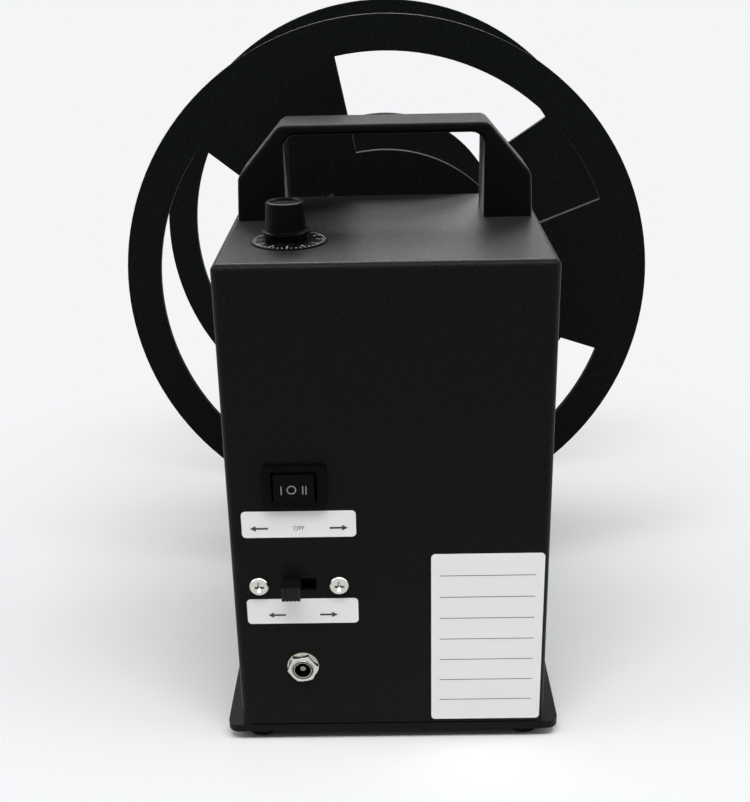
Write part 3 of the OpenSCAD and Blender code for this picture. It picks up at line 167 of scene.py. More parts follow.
@dataclass(frozen=True)
class Finish:
    """A plain surface. Each kind of real surface below adds its own grain.

    Attributes:
        name: What the material is.
        slot: The record's material slot.
        colour: Base colour, as an sRGB hex value.
        roughness: Mean roughness.
        metallic: 1 for a metal, 0 for anything else.
        ior: Index of refraction of what isn't a metal.
        specular: Share of the mirror-like reflection that is left, with 0.5 for all of it.
        sheen: Strength of the dusty sheen at a low angle.
        sheen_roughness: Low for a sheen that shows at the lowest angles alone.
    """

    name: str
    slot: str
    colour: str
    roughness: float
    metallic: float = 0.0
    ior: float = 1.5
    specular: float = 0.5
    sheen: float = 0.0
    sheen_roughness: float = 0.5

    def material(self) -> bpy.types.Material:
        """Makes the material on its first use.

        Returns:
            The material, which all pieces of this finish share.
        """
        made = bpy.data.materials.get(self.name)
        if made:
            return made
        made = bpy.data.materials.new(self.name)
        made.use_nodes = True
        shader = made.node_tree.nodes["Principled BSDF"]
        shader.inputs["Base Color"].default_value = srgb(self.colour)
        shader.inputs["Roughness"].default_value = self.roughness
        shader.inputs["Metallic"].default_value = self.metallic
        shader.inputs["IOR"].default_value = self.ior
        shader.inputs["Specular IOR Level"].default_value = self.specular
        shader.inputs["Sheen Weight"].default_value = self.sheen
        shader.inputs["Sheen Roughness"].default_value = self.sheen_roughness
        self.lay(self.grain(made.node_tree), made.node_tree, shader)
        return made

    def grain(self, tree: bpy.types.NodeTree) -> Grain:
        """Returns no patterns, for a plain surface."""
        return Grain()

    def around(self, change: float) -> tuple[float, float]:
        """Returns the roughness less a change, and plus it."""
        return self.roughness - change, self.roughness + change

    def lay(self, grain: Grain, tree: bpy.types.NodeTree, shader: bpy.types.Node) -> None:
        """Lets the patterns raise, dull and tint the surface.

        Args:
            grain: The patterns and what they do.
            tree: The material's node tree.
            shader: Its shader.
        """
        if grain.relief is not None:
            add_node(
                tree,
                "ShaderNodeBump",
                {"Strength": grain.relief_share, "Distance": grain.relief_mm * MM},
                {"Height": grain.relief},
                {"Normal": shader.inputs["Normal"]},
            )
        if grain.gloss is not None:
            add_node(
                tree,
                "ShaderNodeMapRange",
                {"To Min": grain.roughness[0], "To Max": grain.roughness[1]},
                {"Value": grain.gloss},
                {"Result": shader.inputs["Roughness"]},
            )
        if grain.tint is not None:
            add_node(
                tree,
                "ShaderNodeMix",
                {MIX_A: srgb(self.colour), MIX_B: srgb(grain.tint_colour)},
                {MIX_FACTOR: grain.tint},
                {MIX_RESULT: shader.inputs["Base Color"]},
                data_type="RGBA",
            )


@dataclass(frozen=True)
class PowderCoat(Finish):
    """Baked polyester powder: a fine, even pebble that dulls every reflection.

    Attributes:
        pebble_mm: Size of a pebble. Real ones are near 0.3 mm, and these are coarser so that they show.
        pebble_height_mm: Height of a pebble.
        pebble_share: Share of that height that shows.
        detail: Number of finer layers in the pattern.
        top_from: Level of the pattern at which the tops of the pebbles start.
        top_to: Level at which they are whole.
        top_highlight_colour: Colour of the tops: a painted highlight that draws them paler, as if they caught
            the light.
        top_gloss: How much smoother the tops are than the rest.
    """

    pebble_mm: float = 0.8
    pebble_height_mm: float = 0.16
    pebble_share: float = 0.6
    detail: float = 2.0
    top_from: float = 0.5
    top_to: float = 0.75
    # Painted highlight: the pebbles' tops are drawn paler, as if they caught the light
    top_highlight_colour: str = "#111612"
    top_gloss: float = 0.12

    def grain(self, tree: bpy.types.NodeTree) -> Grain:
        """Adds the pebbles and their smoother tops, with a painted highlight that draws the tops paler.

        Args:
            tree: The material's node tree.

        Returns:
            The patterns.
        """
        place = add_node(tree, "ShaderNodeTexCoord").outputs["Object"]
        pebble = add_node(
            tree,
            "ShaderNodeTexNoise",
            {"Scale": per_metre(self.pebble_mm), "Detail": self.detail},
            {"Vector": place},
        ).outputs["Fac"]
        top = add_node(
            tree,
            "ShaderNodeMapRange",
            {"From Min": self.top_from, "From Max": self.top_to},
            {"Value": pebble},
        ).outputs["Result"]
        return Grain(
            relief=pebble,
            relief_mm=self.pebble_height_mm,
            relief_share=self.pebble_share,
            gloss=top,
            roughness=(self.roughness, self.roughness - self.top_gloss),
            # The paler tint on the pebbles' tops is a painted highlight
            tint=top,
            tint_colour=self.top_highlight_colour,
        )


@dataclass(frozen=True)
class MouldedPlastic(Finish):
    """Plastic from a spark-eroded mould: a soft, fine grain with a dull sheen.

    Attributes:
        grain_mm: Size of the mould's grain, drawn a little coarser than life so that it shows.
        relief_mm: Height of the grain.
        relief_share: Share of that height that shows.
        detail: Number of finer layers in the grain.
        rubbed_grains: Size of a rubbed patch, in grains.
        rubbed_detail: Number of finer layers in the patches.
        rubbed_gloss: How far rubbed patches change the roughness.
    """

    grain_mm: float = 0.8
    relief_mm: float = 0.08
    relief_share: float = 0.5
    detail: float = 3.0
    rubbed_grains: float = 40.0
    rubbed_detail: float = 2.0
    rubbed_gloss: float = 0.07

    def grain(self, tree: bpy.types.NodeTree) -> Grain:
        """Adds the mould's grain, and rubbed patches that are a little smoother.

        Args:
            tree: The material's node tree.

        Returns:
            The patterns.
        """
        place = add_node(tree, "ShaderNodeTexCoord").outputs["Object"]
        cells = add_node(
            tree,
            "ShaderNodeTexNoise",
            {"Scale": per_metre(self.grain_mm), "Detail": self.detail},
            {"Vector": place},
        )
        rubbed = add_node(
            tree,
            "ShaderNodeTexNoise",
            {"Scale": per_metre(self.rubbed_grains * self.grain_mm), "Detail": self.rubbed_detail},
            {"Vector": place},
        )
        return Grain(
            relief=cells.outputs["Fac"],
            relief_mm=self.relief_mm,
            relief_share=self.relief_share,
            gloss=rubbed.outputs["Fac"],
            roughness=self.around(self.rubbed_gloss),
        )


@dataclass(frozen=True)
class PlatedMetal(Finish):
    """Plated or rolled metal: bright, with faint hazy patches and handling marks.

    Attributes:
        haze_mm: Size of the hazy patches.
        haze_colour: Colour of the patches.
        haze: How far the patches change the roughness.
        detail: Number of finer layers in the haze.
    """

    haze_mm: float = 3.0
    haze_colour: str = "#b4b6b6"
    haze: float = 0.08
    detail: float = 5.0

    def grain(self, tree: bpy.types.NodeTree) -> Grain:
        """Adds the haze.

        Args:
            tree: The material's node tree.

        Returns:
            The pattern.
        """
        place = add_node(tree, "ShaderNodeTexCoord").outputs["Object"]
        patches = add_node(
            tree,
            "ShaderNodeTexNoise",
            {"Scale": per_metre(self.haze_mm), "Detail": self.detail},
            {"Vector": place},
        ).outputs["Fac"]
        return Grain(
            gloss=patches, roughness=self.around(self.haze), tint=patches, tint_colour=self.haze_colour
        )


@dataclass(frozen=True)
class TurnedMetal(Finish):
    """Metal from a lathe: fine marks run round its axis, and faces show rings.

    Attributes:
        feed_mm: Distance between the marks. Real ones are near 0.1 mm, and these are coarser, to show.
        mark_height_mm: Height of the marks.
        mark_share: Share of that height that shows.
        mark_gloss: How far the marks change the roughness.
        detail: Number of finer layers in the marks.
        axis_at_mm: A point on the axis, which runs along Y.
    """

    feed_mm: float = 0.35
    mark_height_mm: float = 0.01
    mark_share: float = 0.25
    mark_gloss: float = 0.07
    detail: float = 2.0
    axis_at_mm: tuple[float, float, float] = (0.0, 0.0, 142.5)

    def grain(self, tree: bpy.types.NodeTree) -> Grain:
        """Adds the lathe's marks, by the distance from the axis and along it.

        Args:
            tree: The material's node tree.

        Returns:
            The pattern.
        """
        place = add_node(tree, "ShaderNodeTexCoord").outputs["Object"]
        centre = Vector(self.axis_at_mm) * MM
        centred = add_node(tree, "ShaderNodeVectorMath", {1: centre}, {0: place}, operation="SUBTRACT")
        offset = centred.outputs["Vector"]
        across = add_node(tree, "ShaderNodeVectorMath", {1: (1, 0, 1)}, {0: offset}, operation="MULTIPLY")
        radius = add_node(
            tree, "ShaderNodeVectorMath", links={0: across.outputs["Vector"]}, operation="LENGTH"
        )
        parts = add_node(tree, "ShaderNodeSeparateXYZ", links={"Vector": offset})
        total = add_node(
            tree,
            "ShaderNodeMath",
            links={0: radius.outputs["Value"], 1: parts.outputs["Y"]},
            operation="ADD",
        )
        marks = add_node(
            tree,
            "ShaderNodeTexNoise",
            {"Scale": per_metre(self.feed_mm), "Detail": self.detail},
            {"W": total.outputs["Value"]},
            noise_dimensions="1D",
        ).outputs["Fac"]
        return Grain(
            relief=marks,
            relief_mm=self.mark_height_mm,
            relief_share=self.mark_share,
            gloss=marks,
            roughness=self.around(self.mark_gloss),
        )


@dataclass(frozen=True)
class CoatedPaper(Finish):
    """Coated label paper: white with a faint sheen, and fibres that just show.

    Attributes:
        fibre_mm: Size of the fibres' clumps.
        fibre_height_mm: Height of the clumps.
        fibre_share: Share of that height that shows.
        detail: Number of finer layers in the fibres.
        shade: Colour of the clumps.
    """

    fibre_mm: float = 0.9
    fibre_height_mm: float = 0.01
    fibre_share: float = 0.1
    detail: float = 6.0
    shade: str = "#e2e2df"

    def grain(self, tree: bpy.types.NodeTree) -> Grain:
        """Adds the fibres.

        Args:
            tree: The material's node tree.

        Returns:
            The pattern.
        """
        place = add_node(tree, "ShaderNodeTexCoord").outputs["Object"]
        fibres = add_node(
            tree,
            "ShaderNodeTexNoise",
            {"Scale": per_metre(self.fibre_mm), "Detail": self.detail},
            {"Vector": place},
        ).outputs["Fac"]
        return Grain(
            relief=fibres,
            relief_mm=self.fibre_height_mm,
            relief_share=self.fibre_share,
            tint=fibres,
            tint_colour=self.shade,
        )


# Polyester powder on steel sheet: near black, dull, with a sheen only at a low angle
POWDER_COAT = PowderCoat("polyester_powder_coat", "black_coat", "#040705", 0.42, specular=0.06, sheen=0.05)
# The same powder on the jaws, rubbed dull by the cores
RUBBED_COAT = PowderCoat("rubbed_powder_coat", "black_coat", "#050706", 0.75, specular=0.02, sheen=0.03)
# The same powder on the discs, rougher, so that their rims shine less
DISC_COAT = PowderCoat("disc_powder_coat", "black_coat", "#070b08", 0.62, specular=0.03, sheen=0.05)
# ABS from a grained mould: black with a soft broad sheen
GRAINED_ABS = MouldedPlastic(
    "grained_abs", "black_plastic", "#040605", 0.52, specular=0.04, sheen=0.3, sheen_roughness=0.3
)
# Polyamide switch mouldings: smoother and a little shinier than the handle
SATIN_POLYAMIDE = MouldedPlastic(
    "satin_polyamide", "black_plastic", "#050606", 0.4, specular=0.045, grain_mm=0.4, relief_mm=0.02
)
# Black acetal of the slide button: shiny enough for its ribs to show
BLACK_ACETAL = MouldedPlastic(
    "black_acetal", "black_plastic", "#0b0c0c", 0.34, ior=1.48, specular=0.25, grain_mm=0.4, relief_mm=0.01
)
# Phenolic knob: dense black with crisp highlights on its edges
PHENOLIC = MouldedPlastic(
    "phenolic", "black_plastic", "#020303", 0.32, ior=1.55, specular=0.035, grain_mm=0.4, relief_mm=0.015
)
# Moulded rubber: the dullest black, with no clear highlight
NITRILE_RUBBER = MouldedPlastic(
    "nitrile_rubber", "rubber", "#070707", 0.8, ior=1.52, specular=0.1, grain_mm=0.7, relief_mm=0.04
)
# Nickel on brass: bright and slightly warm
NICKEL_PLATE = PlatedMetal("nickel_plate", "bright_nickel", "#d8d6cf", 0.2, 1.0, haze_colour="#c6c4bd")
# The same nickel on the jack's pin, drawn darker as painted shade of the deep bore it sits in
RECESS_SHADED_NICKEL = PlatedMetal("recess_shaded_nickel", "bright_nickel", "#8f8d87", 0.35, 1.0, haze_colour="#7c7a75")
# Zinc with a clear passivation: cool, bright and faintly cloudy
ZINC_PLATE = PlatedMetal("zinc_plate", "zinc_steel", "#c3c7ca", 0.34, 1.0, haze_colour="#aeb3b8")
# Ground steel bar: bright lines run round it
GROUND_STEEL = TurnedMetal("ground_steel", "spindle_steel", "#b6b9bb", 0.26, 1.0)
# Turned aluminium: paler and softer than steel, with rings on its faces
TURNED_ALUMINIUM = TurnedMetal("turned_aluminium", "aluminium", "#c7c9cb", 0.34, 1.0, feed_mm=0.5)
# The roller's own lathe marks, about its own axis
ROLLER_ALUMINIUM = TurnedMetal(
    "roller_aluminium", "aluminium", "#cbcdce", 0.36, 1.0, feed_mm=0.6, axis_at_mm=(-60.0, 0.0, 20.0)
)
# Turned brass: warm yellow, a little dulled
TURNED_BRASS = PlatedMetal("turned_brass", "brass", "#c9a85f", 0.33, 1.0, haze_colour="#a8884a")
# Natural acetal: milky white and waxy
NATURAL_ACETAL = MouldedPlastic("natural_acetal", "acetal", "#e3e0d6", 0.42, ior=1.48, relief_mm=0.01)
# White coated paper of the stickers
LABEL_PAPER = CoatedPaper("label_paper", "label_paper", "#f4f4f1", 0.5, shade="#ebebe8")
# Printing ink on the stickers: flat, and not quite black
PRINT_INK = CoatedPaper("print_ink", "label_paper", "#262728", 0.6, shade="#333435")
# Pad-printed white of the dial and the switch marks
PAD_PRINT = CoatedPaper("pad_print", "label_paper", "#b6b8b6", 0.55, shade="#a4a6a4")
# The same print on the rocker, greyed by fingers
WORN_PRINT = CoatedPaper("worn_print", "label_paper", "#868886", 0.55, shade="#767876")
# Green solder mask over glass fibre: glossy over a faint weave
SOLDER_MASK = MouldedPlastic("solder_mask", "circuit_board", "#1c5a3a", 0.3, relief_mm=0.02)
# Moulded electronic parts: dull dark grey
COMPONENT_EPOXY = MouldedPlastic("component_epoxy", "board_parts", "#34373a", 0.5)


def span(node: str) -> tuple[Vector, Vector]:
    """Returns the lowest and the highest corner of a CAD node, in millimetres."""
    low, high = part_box(node)
    return low / MM, high / MM


def middle(node: str) -> Vector:
    """Returns the middle of a CAD node's box, in millimetres."""
    low, high = span(node)
    return (low + high) / 2


def arc(centre: tuple[float, float], radius: float, start: float, turn: float, steps: int) -> Loop:
    """Lays points along an arc.

    Args:
        centre: The arc's centre.
        radius: Its radius.
        start: Where it starts, in radians from +X.
        turn: How far it turns, in radians.
        steps: Number of stretches between the points.

    Returns:
        The points, both ends among them.
    """
    angles = [start + turn * i / steps for i in range(steps + 1)]
    return [(centre[0] + radius * math.cos(a), centre[1] + radius * math.sin(a)) for a in angles]


def circle(radius: float, steps: int = 64, centre: tuple[float, float] = (0, 0)) -> Loop:
    """Returns a closed circle, without its last point."""
    return arc(centre, radius, 0, 2 * math.pi, steps)[:-1]


def round_corners(corners: Sequence[tuple[float, float, float]], steps: int = 6) -> Loop:
    """Rounds the corners of a closed outline.

    Args:
        corners: Each corner's place and radius.
        steps: Number of stretches on a rounded corner.

    Returns:
        The rounded outline.
    """
    loop: Loop = []
    count = len(corners)
    for i, (x, y, radius) in enumerate(corners):
        corner = Vector((x, y))
        if radius == 0:
            loop.append((x, y))
            continue
        back = (Vector(corners[i - 1][:2]) - corner).normalized()
        ahead = (Vector(corners[(i + 1) % count][:2]) - corner).normalized()
        half = back.angle(ahead) / 2
        centre = corner + (back + ahead).normalized() * (radius / math.sin(half))
        first = corner + back * (radius / math.tan(half)) - centre
        last = corner + ahead * (radius / math.tan(half)) - centre
        start = math.atan2(first.y, first.x)
        turn = (math.atan2(last.y, last.x) - start + math.pi) % (2 * math.pi) - math.pi
        loop += arc(tuple(centre), radius, start, turn, steps)
    return loop


def rounded_rectangle(width: float, height: float, radius: float) -> Loop:
    """Returns a centred rectangle with rounded corners."""
    x, y = width / 2, height / 2
    return round_corners([(-x, -y, radius), (x, -y, radius), (x, y, radius), (-x, y, radius)])


def baked(source: bpy.types.Object) -> bpy.types.Mesh:
    """Makes a mesh of an object as its curve or modifiers make it.

    Args:
        source: The object, which is left as it is.

    Returns:
        The new mesh.
    """
    bpy.context.view_layer.update()
    graph = bpy.context.evaluated_depsgraph_get()
    return bpy.data.meshes.new_from_object(source.evaluated_get(graph))


def as_piece(name: str, made: bmesh.types.BMesh, place: Matrix | None = None) -> bpy.types.Object:
    """Turns edited geometry into a piece of the scene.

    Args:
        name: The piece's name.
        made: The geometry, which is freed.
        place: Moves the geometry into the row frame.

    Returns:
        The new object, at the origin.
    """
    bmesh.ops.recalc_face_normals(made, faces=made.faces)
    if place is not None:
        made.transform(place)
    mesh = bpy.data.meshes.new(name)
    made.to_mesh(mesh)
    made.free()
    piece = bpy.data.objects.new(name, mesh)
    bpy.context.scene.collection.objects.link(piece)
    return piece


def at(x: float, y: float, z: float, turn: Matrix | None = None) -> Matrix:
    """Returns the placing at a point in millimetres, after an optional turn."""
    return Matrix.Translation(Vector((x, y, z)) * MM) @ (turn or Matrix.Identity(4))


def from_curve(
    name: str, curve: bpy.types.Curve, thickness: float, place: Matrix | None
) -> bpy.types.Object:
    """Turns a drawn outline, or words, into a closed piece that stands on z = 0.

    Args:
        name: The piece's name.
        curve: The drawn curve, which is removed.
        thickness: Thickness of the piece, in millimetres.
        place: Moves the piece into the row frame.

    Returns:
        The piece.
    """
    drawn = bpy.data.objects.new(name, curve)
    bpy.context.scene.collection.objects.link(drawn)
    made = bmesh.new()
    made.from_mesh(baked(drawn))
    bpy.data.objects.remove(drawn)
    bpy.data.curves.remove(curve)
    bmesh.ops.remove_doubles(made, verts=made.verts, dist=PRINT_WELD_MM * MM)
    made.transform(at(0, 0, thickness / 2))
    return as_piece(name, made, place)


def plate(
    name: str, loops: Sequence[Loop], thickness: float, edge: float = 0.0, place: Matrix | None = None
) -> bpy.types.Object:
    """Cuts a plate from outlines, with its edges rounded.

    Args:
        name: The piece's name.
        loops: The outline and then its holes, in millimetres.
        thickness: Thickness, from z = 0 up.
        edge: Radius of the edges.
        place: Moves the plate into the row frame.

    Returns:
        The plate.
    """
    curve = bpy.data.curves.new(name, "CURVE")
    curve.dimensions = "2D"
    curve.fill_mode = "BOTH"
    curve.extrude = (thickness / 2 - edge) * MM
    curve.bevel_depth = edge * MM
    curve.bevel_resolution = 2
    curve.offset = -edge * MM
    for loop in loops:
        spline = curve.splines.new("POLY")
        spline.points.add(len(loop) - 1)
        spline.use_cyclic_u = True
        for point, (x, y) in zip(spline.points, loop):
            point.co = (x * MM, y * MM, 0, 1)
    return from_curve(name, curve, thickness, place)


def lathe(
    name: str,
    profile: Loop,
    place: Matrix | None = None,
    steps: int = 64,
    closed: bool = False,
    ripple: Callable[[float, float, float], float] | None = None,
) -> bpy.types.Object:
    """Turns a profile round the Z axis.

    Args:
        name: The piece's name.
        profile: Radius and height of each point, in millimetres.
        place: Moves the piece into the row frame.
        steps: Number of stretches round the axis.
        closed: Joins the profile's last point to its first, for a ring.
        ripple: Gives the radius to use at a radius, a height and an angle.

    Returns:
        The turned piece.
    """
    made = bmesh.new()
    rings = []
    for radius, height in profile:
        if radius == 0:
            rings.append([made.verts.new((0, 0, height * MM))])
            continue
        ring = []
        for i in range(steps):
            angle = 2 * math.pi * i / steps
            r = ripple(radius, height, angle) if ripple else radius
            ring.append(made.verts.new((r * math.cos(angle) * MM, r * math.sin(angle) * MM, height * MM)))
        rings.append(ring)
    following = rings[1:] + (rings[:1] if closed else [])
    for ring, above in zip(rings, following):
        for i in range(steps):
            j = i + 1
            corners = [ring[i % len(ring)], ring[j % len(ring)], above[j % len(above)], above[i % len(above)]]
            corners = list(dict.fromkeys(corners))
            if len(corners) > 2:
                made.faces.new(corners)
    return as_piece(name, made, place)


def eased(name: str, node: str, radius: float, segments: int = 2) -> bpy.types.Object:
    """Copies a CAD solid and eases its sharp edges, as a deburred, moulded or coated part has them.

    Args:
        name: The piece's name.
        node: The CAD node.
        radius: Radius of the eased edges, in millimetres.
        segments: Number of faces across an eased edge.

    Returns:
        The eased piece.
    """
    made = bmesh.new()
    made.from_mesh(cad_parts[node].data)
    bmesh.ops.remove_doubles(made, verts=made.verts, dist=WELD_MM * MM)
    bmesh.ops.dissolve_limit(made, angle_limit=FLAT_ANGLE, verts=made.verts, edges=made.edges)
    sharp = [e for e in made.edges if e.calc_face_angle(0) > SHARP_ANGLE]
    bmesh.ops.bevel(
        made,
        geom=sharp,
        offset=radius * MM,
        offset_type="OFFSET",
        segments=segments,
        profile=0.5,
        affect="EDGES",
        clamp_overlap=True,
    )
    bmesh.ops.dissolve_degenerate(made, dist=WELD_MM * MM, edges=made.edges)
    return as_piece(name, made)


def join(name: str, parts: Sequence[bpy.types.Object]) -> bpy.types.Object:
    """Joins pieces into one, and removes them.

    Args:
        name: The joined piece's name.
        parts: The pieces, which sit at the origin.

    Returns:
        The joined piece.
    """
    made = bmesh.new()
    for part in parts:
        made.from_mesh(part.data)
        bpy.data.objects.remove(part)
    return as_piece(name, made)


def cut(piece: bpy.types.Object, tool: bpy.types.Object) -> bpy.types.Object:
    """Cuts one closed piece out of another.

    Args:
        piece: The piece to cut.
        tool: The piece that is cut out, which is removed.

    Returns:
        The cut piece.
    """
    modifier = piece.modifiers.new("cut", "BOOLEAN")
    modifier.object = tool
    modifier.operation = "DIFFERENCE"
    modifier.solver = "EXACT"
    made = bmesh.new()
    made.from_mesh(baked(piece))
    bmesh.ops.remove_doubles(made, verts=made.verts, dist=WELD_MM * MM)
    bmesh.ops.dissolve_degenerate(made, dist=WELD_MM * MM, edges=made.edges)
    made.to_mesh(piece.data)
    made.free()
    piece.modifiers.clear()
    bpy.data.objects.remove(tool)
    return piece


def lettering(name: str, words: str, height: float, depth: float, place: Matrix) -> bpy.types.Object:
    """Sets plain figures or words as thin raised print.

    Args:
        name: The piece's name.
        words: What is printed.
        height: Height of a capital, in millimetres.
        depth: Thickness of the print.
        place: Moves the centred words into the row frame.

    Returns:
        The print.
    """
    cap_share = 0.72
    curve = bpy.data.curves.new(name, "FONT")
    curve.body = words
    curve.size = height / cap_share * MM
    curve.align_x = "CENTER"
    curve.align_y = "CENTER"
    curve.extrude = depth / 2 * MM
    curve.resolution_u = 3
    return from_curve(name, curve, depth, place)


def shade(piece: bpy.types.Object) -> None:
    """Shades rounded faces smooth, and keeps flat faces flat.

    Args:
        piece: The piece.
    """
    piece.data.shade_smooth()
    piece.data.set_sharp_from_angle(angle=SHARP_ANGLE)
    modifier = piece.modifiers.new("flat_faces", "WEIGHTED_NORMAL")
    modifier.keep_sharp = True


@dataclass
class Assembly:
    """Pieces of the machine that are built and dressed together.

    Attributes:
        made: The pieces made so far, with their finishes.
        coated: The CAD nodes that show as they are, with their finishes.
    """

    made: list[tuple[bpy.types.Object, Finish]] = field(default_factory=list, init=False)
    coated: list[tuple[bpy.types.Object, Finish]] = field(default_factory=list, init=False)

    def keep(self, piece: bpy.types.Object, body: Body, finish: Finish, *nodes: str) -> bpy.types.Object:
        """Puts a piece on its body and notes its finish.

        Args:
            piece: The piece, in its place.
            body: The body that it rides on.
            finish: Its finish.
            *nodes: The CAD nodes that it stands for.

        Returns:
            The piece.
        """
        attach(piece, body.value)
        if nodes:
            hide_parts(*nodes)
        self.made.append((piece, finish))
        return piece

    def ease(self, node: str, radius: float, body: Body, finish: Finish) -> bpy.types.Object:
        """Puts an eased copy in the place of a CAD node.

        Args:
            node: The CAD node.
            radius: Radius of the eased edges, in millimetres.
            body: The body that it rides on.
            finish: Its finish.

        Returns:
            The eased piece.
        """
        return self.keep(eased(f"{node}_eased", node, radius), body, finish, node)

    def coat(self, node: str, finish: Finish) -> None:
        """Gives a CAD node that shows as it is its finish.

        Args:
            node: The CAD node.
            finish: Its finish.
        """
        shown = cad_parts[node]
        for held in shown.material_slots:
            held.material = finish.material()
        self.coated.append((shown, finish))

    def build(self) -> None:
        """Makes the pieces."""

    def dress(self) -> None:
        """Gives each piece its finish and its shading."""
        for piece, finish in self.made:
            piece.data.materials.append(finish.material())
            shade(piece)


@dataclass
class Housing(Assembly):
    """Base plate, feet, cover and front plate.

    Attributes:
        coat_edge: Radius that the coat leaves on a sheet's edge.
        foot_edge: Radius of the feet's edges.
    """

    coat_edge: float = 0.4
    foot_edge: float = 0.4

    def build(self) -> None:
        """Eases the sheet parts and the feet. The cover's bends are in its solid."""
        self.ease("base_plate", self.coat_edge, Body.ROOT, POWDER_COAT)
        self.ease("front_plate", self.coat_edge, Body.ROOT, POWDER_COAT)
        self.ease("rubber_feet", self.foot_edge, Body.ROOT, NITRILE_RUBBER)

    def dress(self) -> None:
        """Dresses the pieces and the cover."""
        super().dress()
        self.coat("rear_cover", POWDER_COAT)


@dataclass
class CarryHandle(Assembly):
    """Moulded bridge handle on the cover.

    Attributes:
        top_width: Width of its flat top.
        shoulder_height: Height of its shoulders.
        leg_taper: How far a leg leans in below its shoulder.
        gap_width: Clear width under the bar.
        bar: Thickness of the bar.
        corner: Radius of the shoulders.
        gap_corner: Radius of the corners under the bar.
        edge: Radius of its long edges.
    """

    top_width: float = 73.0
    shoulder_height: float = 15.4
    leg_taper: float = 0.9
    gap_width: float = 70.4
    bar: float = 3.5
    corner: float = 4.0
    gap_corner: float = 4.5
    edge: float = 1.3

    def build(self) -> None:
        """Cuts the bridge from its outline, drawn lower than its seat and trimmed there."""
        low, high = span("carry_handle")
        height = high.z - low.z
        foot, top, gap = (high.x - low.x) / 2, self.top_width / 2, self.gap_width / 2
        under = height - self.bar
        below = -2 * self.edge
        outline = round_corners([
            (-foot, below, 0),
            (-foot + self.leg_taper, self.shoulder_height, self.corner),
            (-top, height, self.corner),
            (top, height, self.corner),
            (foot - self.leg_taper, self.shoulder_height, self.corner),
            (foot, below, 0),
            (gap, below, 0),
            (gap, under, self.gap_corner),
            (-gap, under, self.gap_corner),
            (-gap, below, 0),
        ])
        place = at(0, high.y, low.z, FACING_PANEL)
        bridge = plate("handle_bridge", [outline], high.y - low.y, self.edge, place)
        trimmed = bmesh.new()
        trimmed.from_mesh(bridge.data)
        bpy.data.objects.remove(bridge)
        trim = bmesh.ops.bisect_plane(
            trimmed,
            geom=trimmed.verts[:] + trimmed.edges[:] + trimmed.faces[:],
            plane_co=(0, 0, low.z * MM),
            plane_no=(0, 0, 1),
            clear_inner=True,
        )
        rim = [e for e in trim["geom_cut"] if isinstance(e, bmesh.types.BMEdge)]
        bmesh.ops.edgeloop_fill(trimmed, edges=rim)
        self.keep(as_piece("handle", trimmed), Body.ROOT, GRAINED_ABS, "carry_handle")


